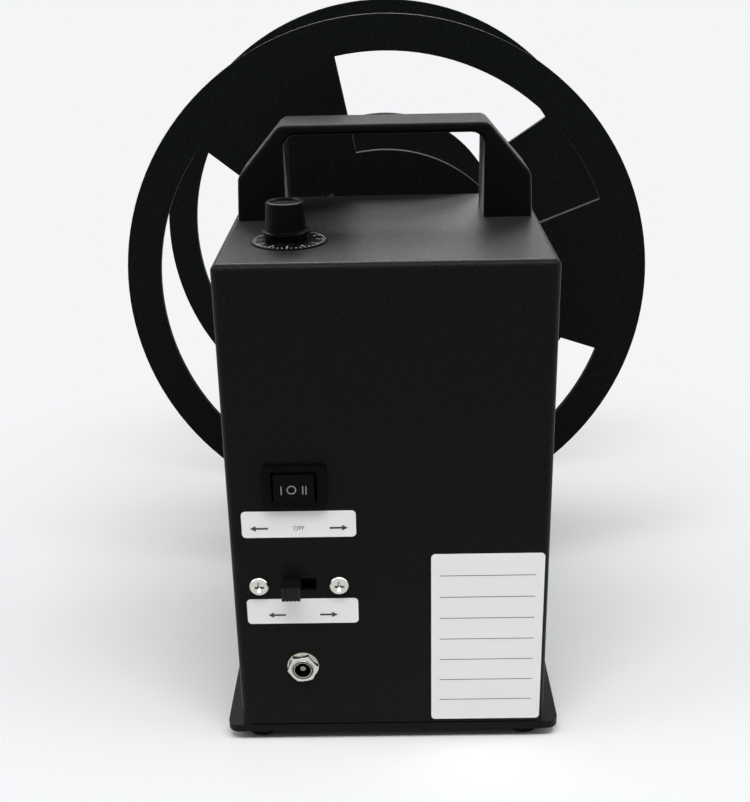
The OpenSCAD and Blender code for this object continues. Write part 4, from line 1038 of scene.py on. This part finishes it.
@dataclass
class SpeedDial(Assembly):
    """Speed knob over its printed scale.

    Attributes:
        flutes: Number of flutes round the knob.
        flute_steps: Number of stretches that draw one flute.
        flute_depth: Depth of a flute.
        base_d: Diameter of the knob above its ring.
        top_d: Diameter of the knob at its top.
        boss_d: Diameter of the boss below the ring.
        ring_low: Height of the ring's lower face.
        ring_high: Height of the ring's upper face.
        dish: Depth of the dished top.
        rim: Width of the ring round the dish.
        edge: Radius of the knob's edges.
        sweep: Angle that the scale's marks take, in degrees.
        divisions: Number of marks between two figures.
        figures: Number of figures after the zero.
        print_depth: Thickness of the print.
        bore: Diameter of the scale's hole.
        scale_edge: Radius of the scale's edges.
        long_mark: Length and width of a mark at a figure.
        short_mark: Length and width of any other mark.
        mark_corner: Radius of a mark's corners.
        mark_inset: Distance of the marks from the scale's edge.
        figure_gap: Distance of a figure's middle from its mark.
        figure_height: Height of a figure.
    """

    flutes: int = 30
    flute_steps: int = 8
    flute_depth: float = 0.12
    base_d: float = 13.6
    top_d: float = 12.6
    boss_d: float = 14.4
    ring_low: float = 2.1
    ring_high: float = 3.1
    dish: float = 0.8
    rim: float = 1.5
    edge: float = 0.35
    sweep: float = 300.0
    divisions: int = 4
    figures: int = 10
    print_depth: float = 0.04
    bore: float = 7.2
    scale_edge: float = 0.12
    long_mark: tuple[float, float] = (1.7, 0.34)
    short_mark: tuple[float, float] = (1.1, 0.24)
    mark_corner: float = 0.08
    mark_inset: float = 0.7
    figure_gap: float = 0.9
    figure_height: float = 1.3

    def build(self) -> None:
        """Turns the knob, and prints the scale."""
        self.build_knob()
        self.build_scale()

    def build_knob(self) -> None:
        """Turns the knob with its flutes, dished top, ring and boss."""
        low, high = span("speed_knob")
        centre = middle("speed_knob")
        height, ring_r = high.z - low.z, (high.x - low.x) / 2
        top_r, base_r, boss_r, e = self.top_d / 2, self.base_d / 2, self.boss_d / 2, self.edge
        flute_low, flute_high = self.ring_high + 2 * e, height - 3 * e
        slope = (base_r - top_r) / (height - self.ring_high)
        inset, half = 0.3 * e, 0.5 * e

        def side(z: float) -> tuple[float, float]:
            """Returns the point of the tapered side at a height."""
            return base_r - slope * (z - self.ring_high), z

        profile = [
            (0, height - self.dish),
            (top_r - self.rim - e, height - self.dish),
            (top_r - self.rim, height - inset),
            (top_r - self.rim + half, height),
            (top_r - e, height),
            (top_r - inset, height - inset),
            side(height - e),
            side(flute_high),
            side(flute_high - e),
            side(flute_low + e),
            side(flute_low),
            side(self.ring_high + half),
            (base_r + half, self.ring_high),
            (ring_r - e, self.ring_high),
            (ring_r - inset, self.ring_high - inset),
            (ring_r, self.ring_high - e),
            (ring_r, self.ring_low + half),
            (ring_r - half, self.ring_low),
            (boss_r, self.ring_low),
            (boss_r, inset),
            (boss_r - inset, 0),
            (0, 0),
        ]

        def ripple(radius: float, z: float, angle: float) -> float:
            """Draws the flutes.

            Args:
                radius: The plain radius.
                z: Height on the knob.
                angle: Angle round it.

            Returns:
                The radius inside a flute, and the plain radius elsewhere.
            """
            if not flute_low < z < flute_high:
                return radius
            return radius - self.flute_depth * (0.5 + 0.5 * math.cos(self.flutes * angle)) ** 2

        place = at(centre.x, centre.y, low.z)
        knob = lathe("knob", profile, place, steps=self.flutes * self.flute_steps, ripple=ripple)
        self.keep(knob, Body.SPEED_KNOB, PHENOLIC, "speed_knob")

    def build_scale(self) -> None:
        """Cuts the scale's disc, and prints its marks and figures. The scale's gap faces the reel."""
        low, high = span("dial_scale")
        centre = middle("dial_scale")
        outer = (high.x - low.x) / 2
        knob_axis = middle("speed_knob").xy - centre.xy
        loops = [circle(outer), circle(self.bore / 2, centre=tuple(knob_axis))]
        disc = plate("scale_disc", loops, high.z - low.z, self.scale_edge, at(*centre.xy, low.z))
        self.keep(disc, Body.ROOT, SATIN_POLYAMIDE, "dial_scale")
        face = at(*centre.xy, high.z)
        upright = Matrix.Rotation(math.pi / 2, 4, "Z")
        count = self.divisions * self.figures
        marks = []
        for i in range(count + 1):
            angle = math.radians(90 + (360 - self.sweep) / 2 + self.sweep * i / count)
            major = i % self.divisions == 0
            length, width = self.long_mark if major else self.short_mark
            turn = Matrix.Rotation(angle, 4, "Z") @ at(outer - self.mark_inset - length / 2, 0, 0)
            bar = rounded_rectangle(length, width, self.mark_corner)
            marks.append(plate(f"scale_mark_{i}", [bar], self.print_depth, 0, face @ turn))
            if major:
                figure = str(i // self.divisions)
                spot = face @ (turn @ at(-length / 2 - self.figure_gap, 0, 0) @ upright)
                marks.append(
                    lettering(f"scale_figure_{i}", figure, self.figure_height, self.print_depth, spot)
                )
        self.keep(join("scale_print", marks), Body.ROOT, PAD_PRINT)


@dataclass
class RockerSwitch(Assembly):
    """Three-way rocker with its rim and printed marks.

    Attributes:
        half_width: Half the rocker's width.
        dip: How far the middle of the rocker's face lies below its ends.
        edge: Radius of its edges.
        mark_height: Height of the marks.
        stroke: Width of their strokes.
        bar_corner: Radius of a bar's corners.
        bars: Places of the bars, from the rocker's middle.
        ring: Place of the ring.
        ring_steps: Number of stretches round the ring.
        drop: How far the marks lie below the rocker's middle.
        print_depth: Thickness of the print.
    """

    half_width: float = 6.8
    dip: float = 0.7
    edge: float = 0.35
    mark_height: float = 3.2
    stroke: float = 0.4
    bar_corner: float = 0.2
    bars: tuple[float, ...] = (-4.2, 3.0, 4.1)
    ring: float = -0.8
    ring_steps: int = 32
    drop: float = 0.4
    print_depth: float = 0.03

    def build(self) -> None:
        """Eases the rim and the rocker, and prints its marks."""
        self.ease("rocker_housing", self.edge, Body.ROOT, SATIN_POLYAMIDE)
        self.ease("rocker_paddle", self.edge, Body.ROCKER, SATIN_POLYAMIDE)
        self.print_marks()

    def face(self, x: float) -> float:
        """Returns how far the rocker's face lies behind its ends, at a distance from its middle."""
        return self.dip * (1 - abs(x) / self.half_width)

    def print_marks(self) -> None:
        """Prints one bar, a ring and two bars, and lays them on the slanted faces."""
        low, _ = span("rocker_paddle")
        centre = middle("rocker_paddle")
        bar = rounded_rectangle(self.stroke, self.mark_height, self.bar_corner)
        outer = self.mark_height / 2
        marks = [plate(f"bar_{x}", [bar], self.print_depth, 0, at(x, 0, 0)) for x in self.bars]
        ring = [circle(r, self.ring_steps) for r in (outer, outer - self.stroke)]
        marks.append(plate("ring", ring, self.print_depth, 0, at(self.ring, 0, 0)))
        printed = join("rocker_marks", marks)
        for vertex in printed.data.vertices:
            vertex.co.z -= self.face(vertex.co.x / MM) * MM
        printed.data.transform(at(centre.x, low.y, centre.z - self.drop, FACING_PANEL))
        self.keep(printed, Body.ROCKER, WORN_PRINT)


@dataclass
class PanelFittings(Assembly):
    """Slide switch and power jack on the control panel.

    Attributes:
        button_edge: Radius of the button's edges.
        barrel_edge: Radius of the jack's edges.
        nut_edge: Radius of the nut's edges.
        pin_r: Radius round the jack's pin that isn't lined.
        lining_r: Radius of the jack's black lining.
    """

    button_edge: float = 0.2
    barrel_edge: float = 0.25
    nut_edge: float = 0.12
    pin_r: float = 1.3
    lining_r: float = 2.95

    def build(self) -> None:
        """Eases the button, the jack and its nut."""
        self.ease("selector_button", self.button_edge, Body.SELECTOR, BLACK_ACETAL)
        self.ease("power_jack", self.barrel_edge, Body.ROOT, NICKEL_PLATE)
        self.ease("power_jack_nut", self.nut_edge, Body.ROOT, NICKEL_PLATE)

    def dress(self) -> None:
        """Dresses the pieces, with a black lining in the jack's bore and a pin darkened by painted shade."""
        super().dress()
        jack = bpy.data.objects["power_jack_eased"]
        for finish in (SATIN_POLYAMIDE, RECESS_SHADED_NICKEL):
            jack.data.materials.append(finish.material())
        axis = middle("power_jack")
        for face in jack.data.polygons:
            offset = face.center / MM - axis
            corners = [jack.data.vertices[i].co / MM - axis for i in face.vertices]
            if self.pin_r < math.hypot(offset.x, offset.z) < self.lining_r:
                face.material_index = 1
            elif max(math.hypot(c.x, c.z) for c in corners) < self.pin_r:
                # The pin's darker nickel is painted shade of the deep bore
                face.material_index = 2


@dataclass
class PanelLabels(Assembly):
    """White stickers with plain generic print.

    Attributes:
        print_depth: Thickness of the print.
        rule: Width of a printed rule.
        margin: Distance of the print from a sticker's edge.
        paper_edge: Radius of the stickers' edges.
        drop: How far the print on a strip lies below its middle.
        rocker_reach: Distance of the arrows from the middle of the rocker's strip.
        selector_reach: Distance of the arrows from the middle of the slide switch's strip.
        word_height: Height of the word on the rocker's strip.
        rows: Number of rows that the rules part the tall sticker into.
        arrow: Outline of an arrow that points right.
    """

    print_depth: float = 0.02
    rule: float = 0.25
    margin: float = 3.0
    paper_edge: float = 0.03
    drop: float = 1.5
    rocker_reach: float = 13.5
    selector_reach: float = 9.0
    word_height: float = 1.6
    rows: int = 8
    arrow: tuple[tuple[float, float], ...] = (
        (3.2, 0), (1.2, 1.1), (1.2, 0.35), (-3.0, 0.35), (-3.0, -0.35), (1.2, -0.35), (1.2, -1.1)
    )

    def build(self) -> None:
        """Eases the stickers, and prints arrows and a word on the strips and rules on the tall one."""
        self.ease("panel_labels", self.paper_edge, Body.ROOT, LABEL_PAPER)
        boxes = sorted(islands("panel_labels"), key=lambda box: (round(box[1].z - box[0].z), box[0].z))
        selector_strip, rocker_strip, tall = boxes
        marks = self.arrows("rocker", rocker_strip, self.rocker_reach)
        marks += self.arrows("selector", selector_strip, self.selector_reach)
        spot = self.spot(rocker_strip, 0)
        marks.append(lettering("off_word", "OFF", self.word_height, self.print_depth, spot))
        marks += self.rules(tall)
        self.keep(join("label_print", marks), Body.ROOT, PRINT_INK)

    def spot(self, box: tuple[Vector, Vector], across: float) -> Matrix:
        """Returns the placing of print on a strip, at a distance across from its middle."""
        low, high = box
        return at((low.x + high.x) / 2 + across, low.y, (low.z + high.z) / 2 - self.drop, FACING_PANEL)

    def arrows(self, name: str, box: tuple[Vector, Vector], reach: float) -> list[bpy.types.Object]:
        """Prints a left and a right arrow on a strip.

        Args:
            name: Start of the pieces' names.
            box: The strip's corners.
            reach: Distance of the arrows from the strip's middle.

        Returns:
            The arrows.
        """
        made = []
        for side in (-1, 1):
            loop = [(side * x, y) for x, y in self.arrow]
            place = self.spot(box, side * reach)
            made.append(plate(f"{name}_arrow_{side}", [loop], self.print_depth, 0, place))
        return made

    def rules(self, box: tuple[Vector, Vector]) -> list[bpy.types.Object]:
        """Prints blank rules on the tall sticker.

        Args:
            box: The sticker's corners.

        Returns:
            The rules.
        """
        low, high = box
        width = high.x - low.x - 2 * self.margin
        rise = (high.z - low.z) / self.rows
        made = []
        for i in range(1, self.rows):
            place = at((low.x + high.x) / 2, low.y, low.z + i * rise, FACING_PANEL)
            bar = rounded_rectangle(width, self.rule, self.rule / 3)
            made.append(plate(f"label_rule_{i}", [bar], self.print_depth, 0, place))
        return made


def loose_parts(node: str) -> list[list[Vector]]:
    """Finds the separate solids of a CAD node.

    Args:
        node: The CAD node.

    Returns:
        The points of each solid, in millimetres.
    """
    made = bmesh.new()
    made.from_mesh(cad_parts[node].data)
    bmesh.ops.remove_doubles(made, verts=made.verts, dist=WELD_MM * MM)
    made.verts.index_update()
    seen = set()
    parts = []
    for first in made.verts:
        if first.index in seen:
            continue
        seen.add(first.index)
        part, edge = [], [first]
        while edge:
            vertex = edge.pop()
            part.append(vertex.co / MM)
            for other in (e.other_vert(vertex) for e in vertex.link_edges):
                if other.index not in seen:
                    seen.add(other.index)
                    edge.append(other)
        parts.append(part)
    made.free()
    return parts


def islands(node: str) -> list[tuple[Vector, Vector]]:
    """Finds the boxes of the separate solids of a CAD node.

    Args:
        node: The CAD node.

    Returns:
        The lowest and the highest corner of each solid, in millimetres.
    """
    corners = []
    for part in loose_parts(node):
        low = Vector(min(p[i] for p in part) for i in range(3))
        high = Vector(max(p[i] for p in part) for i in range(3))
        corners.append((low, high))
    return corners


@dataclass
class Screws(Assembly):
    """Pan-head screws with cross recesses, in the places of the plain ones.

    Attributes:
        steps: Number of stretches round a screw.
        wide_share: Least radius of what counts as a plain screw's rim, as a share of its head.
        tip_play: Height of what counts as its tip.
        point: Width of the bevel at the shank's end.
        rim: Width of the bevel under the head.
        skirt_share: Height of the head's straight skirt, as a share of the head's height.
        dome_share: Height of the rounded edge above the seat, as a share of the head's height.
        dome_turns: Angles at which the rounded edge has a point, in radians.
        crown_share: Radius of the flat crown, as a share of the head.
        recess_share: Reach of the recess, as a share of the head.
        arm_share: Half the width of its arms, as a share of the head.
        depth_share: Depth of the recess, as a share of the head's height.
        taper: Size of its floor, as a share of its mouth.
    """

    steps: int = 40
    wide_share: float = 0.98
    tip_play: float = 0.01
    point: float = 0.3
    rim: float = 0.1
    skirt_share: float = 0.4
    dome_share: float = 0.95
    dome_turns: tuple[float, ...] = (0.0, 0.3, 0.6, 0.9, 1.2, 1.5)
    crown_share: float = 0.7
    recess_share: float = 0.56
    arm_share: float = 0.13
    depth_share: float = 0.85
    taper: float = 0.3

    def build(self) -> None:
        """Makes each set of screws that shows."""
        self.build_set("slide_switch_screws", Axis.Y, Body.ROOT, NICKEL_PLATE)
        self.build_set("side_screws", Axis.X, Body.ROOT, POWDER_COAT)
        self.build_set("base_screws", Axis.Z, Body.ROOT, ZINC_PLATE)
        self.build_set("foot_screws", Axis.Z, Body.ROOT, ZINC_PLATE)
        self.build_set("housing_screws", Axis.Y, Body.ROOT, ZINC_PLATE)
        self.build_set("standoff_screws", Axis.Y, Body.ROOT, ZINC_PLATE)
        self.build_set("collar_screws", Axis.Y, Body.OUTER_FLANGE, ZINC_PLATE)

    def build_set(self, node: str, axis: Axis, body: Body, finish: Finish) -> None:
        """Makes the screws of one CAD node.

        Args:
            node: The CAD node.
            axis: The direction that its screws lie along.
            body: The body that they ride on.
            finish: Their finish.
        """
        made = [self.build_screw(f"{node}_{i}", part, axis) for i, part in enumerate(loose_parts(node))]
        self.keep(join(f"{node}_heads", made), body, finish, node)

    def build_screw(self, name: str, part: list[Vector], axis: Axis) -> bpy.types.Object:
        """Makes one screw where a plain one lies.

        Args:
            name: The piece's name.
            part: Points of the plain screw, in millimetres.
            axis: The direction that it lies along.

        Returns:
            The screw.
        """
        along = axis.value
        centre = Vector((min(p[i] for p in part) + max(p[i] for p in part)) / 2 for i in range(3))
        centre[along] = 0
        spokes = [(p - centre, p[along]) for p in part]
        for spoke, _ in spokes:
            spoke[along] = 0
        head_r = max(spoke.length for spoke, _ in spokes)
        wide = [t for spoke, t in spokes if spoke.length > self.wide_share * head_r]
        ends = min(t for _, t in spokes), max(t for _, t in spokes)
        tip = max(ends, key=lambda t: min(abs(t - w) for w in wide))
        face = min(ends, key=lambda t: min(abs(t - w) for w in wide))
        seat = min(wide, key=lambda t: abs(t - tip))
        shank_r = max(spoke.length for spoke, t in spokes if abs(t - tip) < self.tip_play)
        direction = Vector((0, 0, 0))
        direction[along] = math.copysign(1, face - tip)
        centre[along] = seat
        place = at(*centre) @ direction.to_track_quat("Z", "Y").to_matrix().to_4x4()
        height = abs(face - seat)
        screw = lathe(name, self.profile(head_r, height, shank_r, abs(seat - tip)), steps=self.steps)
        cut(screw, self.recess(head_r, height))
        screw.data.transform(place)
        return screw

    def profile(self, head_r: float, height: float, shank_r: float, length: float) -> Loop:
        """Draws a screw: a bevelled shank, and a head with a straight skirt and a domed top.

        Args:
            head_r: The head's radius.
            height: Its height.
            shank_r: The shank's radius.
            length: Its length below the head.

        Returns:
            The outline, from the tip to the crown.
        """
        skirt, dome_top = self.skirt_share * height, self.dome_share * height
        crown = self.crown_share * head_r
        dome = [
            (crown + (head_r - crown) * math.cos(a), skirt + (dome_top - skirt) * math.sin(a))
            for a in self.dome_turns
        ]
        shank = [
            (0, -length),
            (shank_r - self.point, -length),
            (shank_r, self.point - length),
            (shank_r, 0),
            (head_r - self.rim, 0),
        ]
        return [*shank, (head_r, self.rim), *dome, (0, height)]

    def recess(self, head_r: float, height: float) -> bpy.types.Object:
        """Returns the tapered cross that is cut into a head.

        Args:
            head_r: The head's radius.
            height: Its height.

        Returns:
            The cross, which reaches out past the top of the head.
        """
        long, wide = head_r * self.recess_share, head_r * self.arm_share
        cross = []
        for quarter in range(4):
            turn = Matrix.Rotation(quarter * math.pi / 2, 2)
            cross += [turn @ Vector(p) for p in ((wide, wide), (wide, long), (-wide, long))]
        depth = height * self.depth_share
        made = bmesh.new()
        levels = ((self.taper, height - depth), (2 - self.taper, height + depth))
        floor, mouth = ([made.verts.new((*(share * p), z)) for p in cross] for share, z in levels)
        made.faces.new(floor[::-1])
        made.faces.new(mouth)
        for i in range(len(cross)):
            made.faces.new([floor[i - 1], floor[i], mouth[i], mouth[i - 1]])
        return as_piece("recess", made, Matrix.Scale(MM, 4))


@dataclass
class Reel(Assembly):
    """Spindle, discs, core jaws and lock collar.

    Attributes:
        disc_edge: Radius of the discs' cut edges under the coat.
        jaw_edge: Radius of the jaws' edges.
        steel_edge: Radius of the edges of turned steel.
        slide_room: Room that the jaws and their bolts have on each face of the inner disc.
    """

    disc_edge: float = 0.15
    jaw_edge: float = 0.4
    steel_edge: float = 0.15
    slide_room: float = 0.03

    def build(self) -> None:
        """Eases the reel's pieces, and thins the inner disc so that the jaws clear it as they slide."""
        inner = self.ease("inner_disc", self.disc_edge, Body.SPINDLE, DISC_COAT)
        low, high = span("inner_disc")
        share = 1 - 2 * self.slide_room / (high.y - low.y)
        centre = at(*middle("inner_disc"))
        inner.data.transform(centre @ Matrix.Scale(share, 4, (0, 1, 0)) @ centre.inverted())
        self.ease("outer_disc", self.disc_edge, Body.OUTER_FLANGE, DISC_COAT)
        self.ease("spindle_shaft", self.steel_edge, Body.SPINDLE, GROUND_STEEL)
        self.ease("disc_lock_nut", self.steel_edge, Body.SPINDLE, ZINC_PLATE)
        self.ease("lock_collar", self.steel_edge, Body.OUTER_FLANGE, TURNED_ALUMINIUM)
        self.ease("lock_screw", self.jaw_edge, Body.LOCK_SCREW, GRAINED_ABS)
        jaws = (Body.JAW_1, Body.JAW_2, Body.JAW_3)
        nuts = (Body.THUMB_NUT_1, Body.THUMB_NUT_2, Body.THUMB_NUT_3)
        for i, (jaw, nut) in enumerate(zip(jaws, nuts), start=1):
            self.ease(f"core_jaw_{i}", self.jaw_edge, jaw, RUBBED_COAT)
            self.ease(f"jaw_bolt_{i}", self.steel_edge, jaw, RUBBED_COAT)
            self.ease(f"thumb_nut_{i}", self.steel_edge, nut, ZINC_PLATE)

    def dress(self) -> None:
        """Dresses the pieces, with a steel thread under the lock screw's black grip."""
        super().dress()
        screw = bpy.data.objects["lock_screw_eased"]
        screw.data.materials.append(ZINC_PLATE.material())
        low, high = span("lock_collar")
        axis = middle("lock_collar")
        for face in screw.data.polygons:
            offset = face.center / MM - axis
            if math.hypot(offset.x, offset.z) < (high.x - low.x) / 2:
                face.material_index = 1


@dataclass
class TensionArm(Assembly):
    """Arm and roller under the reel.

    Attributes:
        arm_edge: Radius of the arm's edges under the coat.
        steel_edge: Radius of the edges of turned metal.
    """

    arm_edge: float = 0.4
    steel_edge: float = 0.25

    def build(self) -> None:
        """Eases the arm, its roller and its bearings."""
        self.ease("tension_arm", self.arm_edge, Body.TENSION_ARM, POWDER_COAT)
        self.ease("arm_shaft", self.steel_edge, Body.TENSION_ARM, GROUND_STEEL)
        self.ease("roller_pin", self.steel_edge, Body.TENSION_ARM, GROUND_STEEL)
        self.ease("tension_roller", self.steel_edge, Body.TENSION_ROLLER, ROLLER_ALUMINIUM)
        self.ease("arm_bush", self.steel_edge, Body.ROOT, TURNED_BRASS)


@dataclass
class Inside(Assembly):
    """Drive and electric parts inside the cover, which show as they are.

    Attributes:
        finishes: Each CAD node's finish.
    """

    finishes: dict[str, Finish] = field(
        default_factory=lambda: {
            "handle_screws": ZINC_PLATE,
            "bearing_housings": TURNED_ALUMINIUM,
            "spindle_bearings": GROUND_STEEL,
            "inner_plate": ZINC_PLATE,
            "plate_standoffs": TURNED_BRASS,
            "motor_gearhead": ZINC_PLATE,
            "motor_can": ZINC_PLATE,
            "motor_screws": ZINC_PLATE,
            "motor_shaft": GROUND_STEEL,
            "motor_pinion": TURNED_BRASS,
            "drive_gear": NATURAL_ACETAL,
            "control_board": SOLDER_MASK,
            "board_components": COMPONENT_EPOXY,
            "board_screws": ZINC_PLATE,
            "speed_potentiometer": ZINC_PLATE,
            "potentiometer_nut": NICKEL_PLATE,
            "potentiometer_shaft": TURNED_ALUMINIUM,
            "slide_switch_body": SATIN_POLYAMIDE,
            "slot_sensor": SATIN_POLYAMIDE,
            "sensor_flag": SATIN_POLYAMIDE,
        }
    )

    def dress(self) -> None:
        """Gives each CAD node its finish."""
        for node, finish in self.finishes.items():
            self.coat(node, finish)


@dataclass
class Softbox:
    """A soft studio lamp.

    Attributes:
        name: Its name.
        place: Where it hangs, in metres.
        aim: The point it faces, in metres.
        size: Width and height, in metres.
        watts: Its power.
        lights_matt: False for a lamp that shows in reflections alone.
    """

    name: str
    place: tuple[float, float, float]
    aim: tuple[float, float, float]
    size: tuple[float, float]
    watts: float
    lights_matt: bool = True

    def hang(self) -> None:
        """Puts the lamp in the studio."""
        lamp = bpy.data.lights.new(self.name, "AREA")
        lamp.shape = "RECTANGLE"
        lamp.size, lamp.size_y = self.size
        lamp.energy = self.watts
        hung = bpy.data.objects.new(self.name, lamp)
        hung.visible_diffuse = self.lights_matt
        hung.location = self.place
        hung.rotation_euler = (Vector(self.aim) - Vector(self.place)).to_track_quat("-Z", "Y").to_euler()
        bpy.context.scene.collection.objects.link(hung)


@dataclass
class Studio:
    """Pale floor in an evenly pale room, soft lamps and the camera.

    Attributes:
        floor_size: Width of the floor, in metres.
        paper: Colour of the floor.
        backdrop: Colour that the room and the far floor show.
        shadow_reach: Distance from the machine within which the floor keeps its whole shadow, in metres.
        even_from: Distance from which the floor looks as the room does.
        room_colour: Colour of the room's light.
        room_light: Strength of the room's light.
        eye_mm: Where the camera stands.
        pitch: How far it looks down, in degrees.
        yaw: How far it turns right, in degrees.
        roll: How far it leans right, in degrees.
        focal_px: Its focal length, in pixels of the picture.
    """

    floor_size: float = 16.0
    paper: str = "#dfe0e1"
    backdrop: str = "#f4f5f7"
    shadow_reach: float = 0.14
    even_from: float = 0.31
    room_colour: str = "#cfd3d8"
    room_light: float = 0.15
    eye_mm: tuple[float, float, float] = (0.57, -464.1, 275.57)
    pitch: float = 22.0
    yaw: float = -0.764
    roll: float = -1.18
    focal_px: float = 1159.8

    def build(self) -> None:
        """Sets up the floor, the light and the camera."""
        bpy.context.scene.view_settings.view_transform = "Standard"
        self.lay_floor()
        self.light_room()
        self.hang_lamps()
        self.set_camera()

    def lay_floor(self) -> None:
        """Lays the paper floor."""
        half = self.floor_size / 2
        corners = ((-half, -half), (half, -half), (half, half), (-half, half))
        made = bmesh.new()
        made.faces.new([made.verts.new((x, y, 0)) for x, y in corners])
        floor = as_piece("paper_floor", made)
        floor.data.materials.append(self.floor_paper())

    def seen_directly(self, tree: bpy.types.NodeTree) -> bpy.types.NodeSocket:
        """Adds the nodes that tell what is seen, straight or in metal or glass, from what only gives light.

        Args:
            tree: The node tree that gets the nodes.

        Returns:
            A socket that is 1 for what is seen, and 0 otherwise.
        """
        ray = add_node(tree, "ShaderNodeLightPath")
        seen = ray.outputs["Is Camera Ray"]
        for kind in ("Is Glossy Ray", "Is Transmission Ray"):
            links = {0: seen, 1: ray.outputs[kind]}
            seen = add_node(tree, "ShaderNodeMath", links=links, operation="MAXIMUM").outputs["Value"]
        return seen

    def floor_paper(self) -> bpy.types.Material:
        """Makes the floor's paper, which keeps the machine's shadow and looks as the room does further off.

        Returns:
            The material.
        """
        material = bpy.data.materials.new("floor_paper")
        material.use_nodes = True
        tree = material.node_tree
        tree.nodes.clear()
        matt = add_node(tree, "ShaderNodeBsdfDiffuse", {"Color": srgb(self.paper)})
        even = add_node(tree, "ShaderNodeEmission", {"Color": srgb(self.backdrop)})
        place = add_node(tree, "ShaderNodeTexCoord").outputs["Object"]
        distance = add_node(tree, "ShaderNodeVectorMath", links={0: place}, operation="LENGTH")
        far = add_node(
            tree,
            "ShaderNodeMapRange",
            {"From Min": self.shadow_reach, "From Max": self.even_from},
            {"Value": distance.outputs["Value"]},
            interpolation_type="SMOOTHSTEP",
        )
        share = add_node(
            tree,
            "ShaderNodeMath",
            links={0: self.seen_directly(tree), 1: far.outputs["Result"]},
            operation="MULTIPLY",
        )
        mixed = add_node(
            tree,
            "ShaderNodeMixShader",
            links={0: share.outputs["Value"], 1: matt.outputs["BSDF"], 2: even.outputs["Emission"]},
        )
        add_node(tree, "ShaderNodeOutputMaterial", links={"Surface": mixed.outputs["Shader"]})
        return material

    def light_room(self) -> None:
        """Gives the room its faint even light, and its pale look."""
        world = bpy.data.worlds.new("room")
        world.use_nodes = True
        tree = world.node_tree
        tree.nodes.clear()
        light = add_node(
            tree, "ShaderNodeBackground", {"Color": srgb(self.room_colour), "Strength": self.room_light}
        )
        look = add_node(tree, "ShaderNodeBackground", {"Color": srgb(self.backdrop)})
        mixed = add_node(
            tree,
            "ShaderNodeMixShader",
            links={
                0: self.seen_directly(tree),
                1: light.outputs["Background"],
                2: look.outputs["Background"],
            },
        )
        add_node(tree, "ShaderNodeOutputWorld", links={"Surface": mixed.outputs["Shader"]})
        bpy.context.scene.world = world

    def hang_lamps(self) -> None:
        """Hangs a high key lamp, one behind for the sheen on the top, and weak ones on the other sides."""
        Softbox("key_box", (0.05, -0.7, 1.68), (0.0, -0.1, 0.1), (1.6, 0.4), 28.5).hang()
        Softbox("back_box", (0.0, 0.95, 1.15), (0.0, 0.0, 0.18), (1.6, 0.5), 36.0, lights_matt=False).hang()
        Softbox("reel_box", (0.0, 1.6, 0.8), (0.0, 0.0, 0.14), (1.2, 0.8), 8.0).hang()
        Softbox("left_box", (-1.2, -0.3, 0.9), (0.0, 0.0, 0.12), (0.8, 1.0), 8.0).hang()
        Softbox("right_box", (1.2, -0.2, 0.9), (0.0, 0.0, 0.12), (0.8, 1.0), 8.0).hang()

    def set_camera(self) -> None:
        """Stands the camera where the photograph was taken."""
        pitch, yaw, roll = (math.radians(a) for a in (self.pitch, self.yaw, self.roll))
        ahead = Vector((math.sin(yaw) * math.cos(pitch), math.cos(yaw) * math.cos(pitch), -math.sin(pitch)))
        level = Vector((math.cos(yaw), -math.sin(yaw), 0))
        upright = level.cross(ahead)
        right = level * math.cos(roll) + upright * math.sin(roll)
        up = upright * math.cos(roll) - level * math.sin(roll)
        lens = bpy.data.cameras.new("camera")
        lens.sensor_width = SENSOR_MM
        lens.lens = self.focal_px * SENSOR_MM / IMAGE_HEIGHT_PX
        camera = bpy.data.objects.new("camera", lens)
        turn = Matrix((right, up, -ahead)).transposed().to_4x4()
        camera.matrix_world = at(*self.eye_mm, turn)
        bpy.context.scene.collection.objects.link(camera)
        bpy.context.scene.camera = camera


def main() -> None:
    """Builds and dresses the machine, logs each piece's finish, and sets up the studio."""
    logging.basicConfig(level=logging.INFO, format="%(message)s")
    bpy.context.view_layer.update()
    assemblies: list[Assembly] = [
        Housing(),
        CarryHandle(),
        SpeedDial(),
        RockerSwitch(),
        PanelFittings(),
        PanelLabels(),
        Screws(),
        Reel(),
        TensionArm(),
        Inside(),
    ]
    for assembly in assemblies:
        assembly.build()
        assembly.dress()
        for piece, finish in assembly.made + assembly.coated:
            log.info("%s: %s, %s", type(assembly).__name__, piece.name, finish.name)
    Studio().build()


if __name__ == "__main__":
    main()
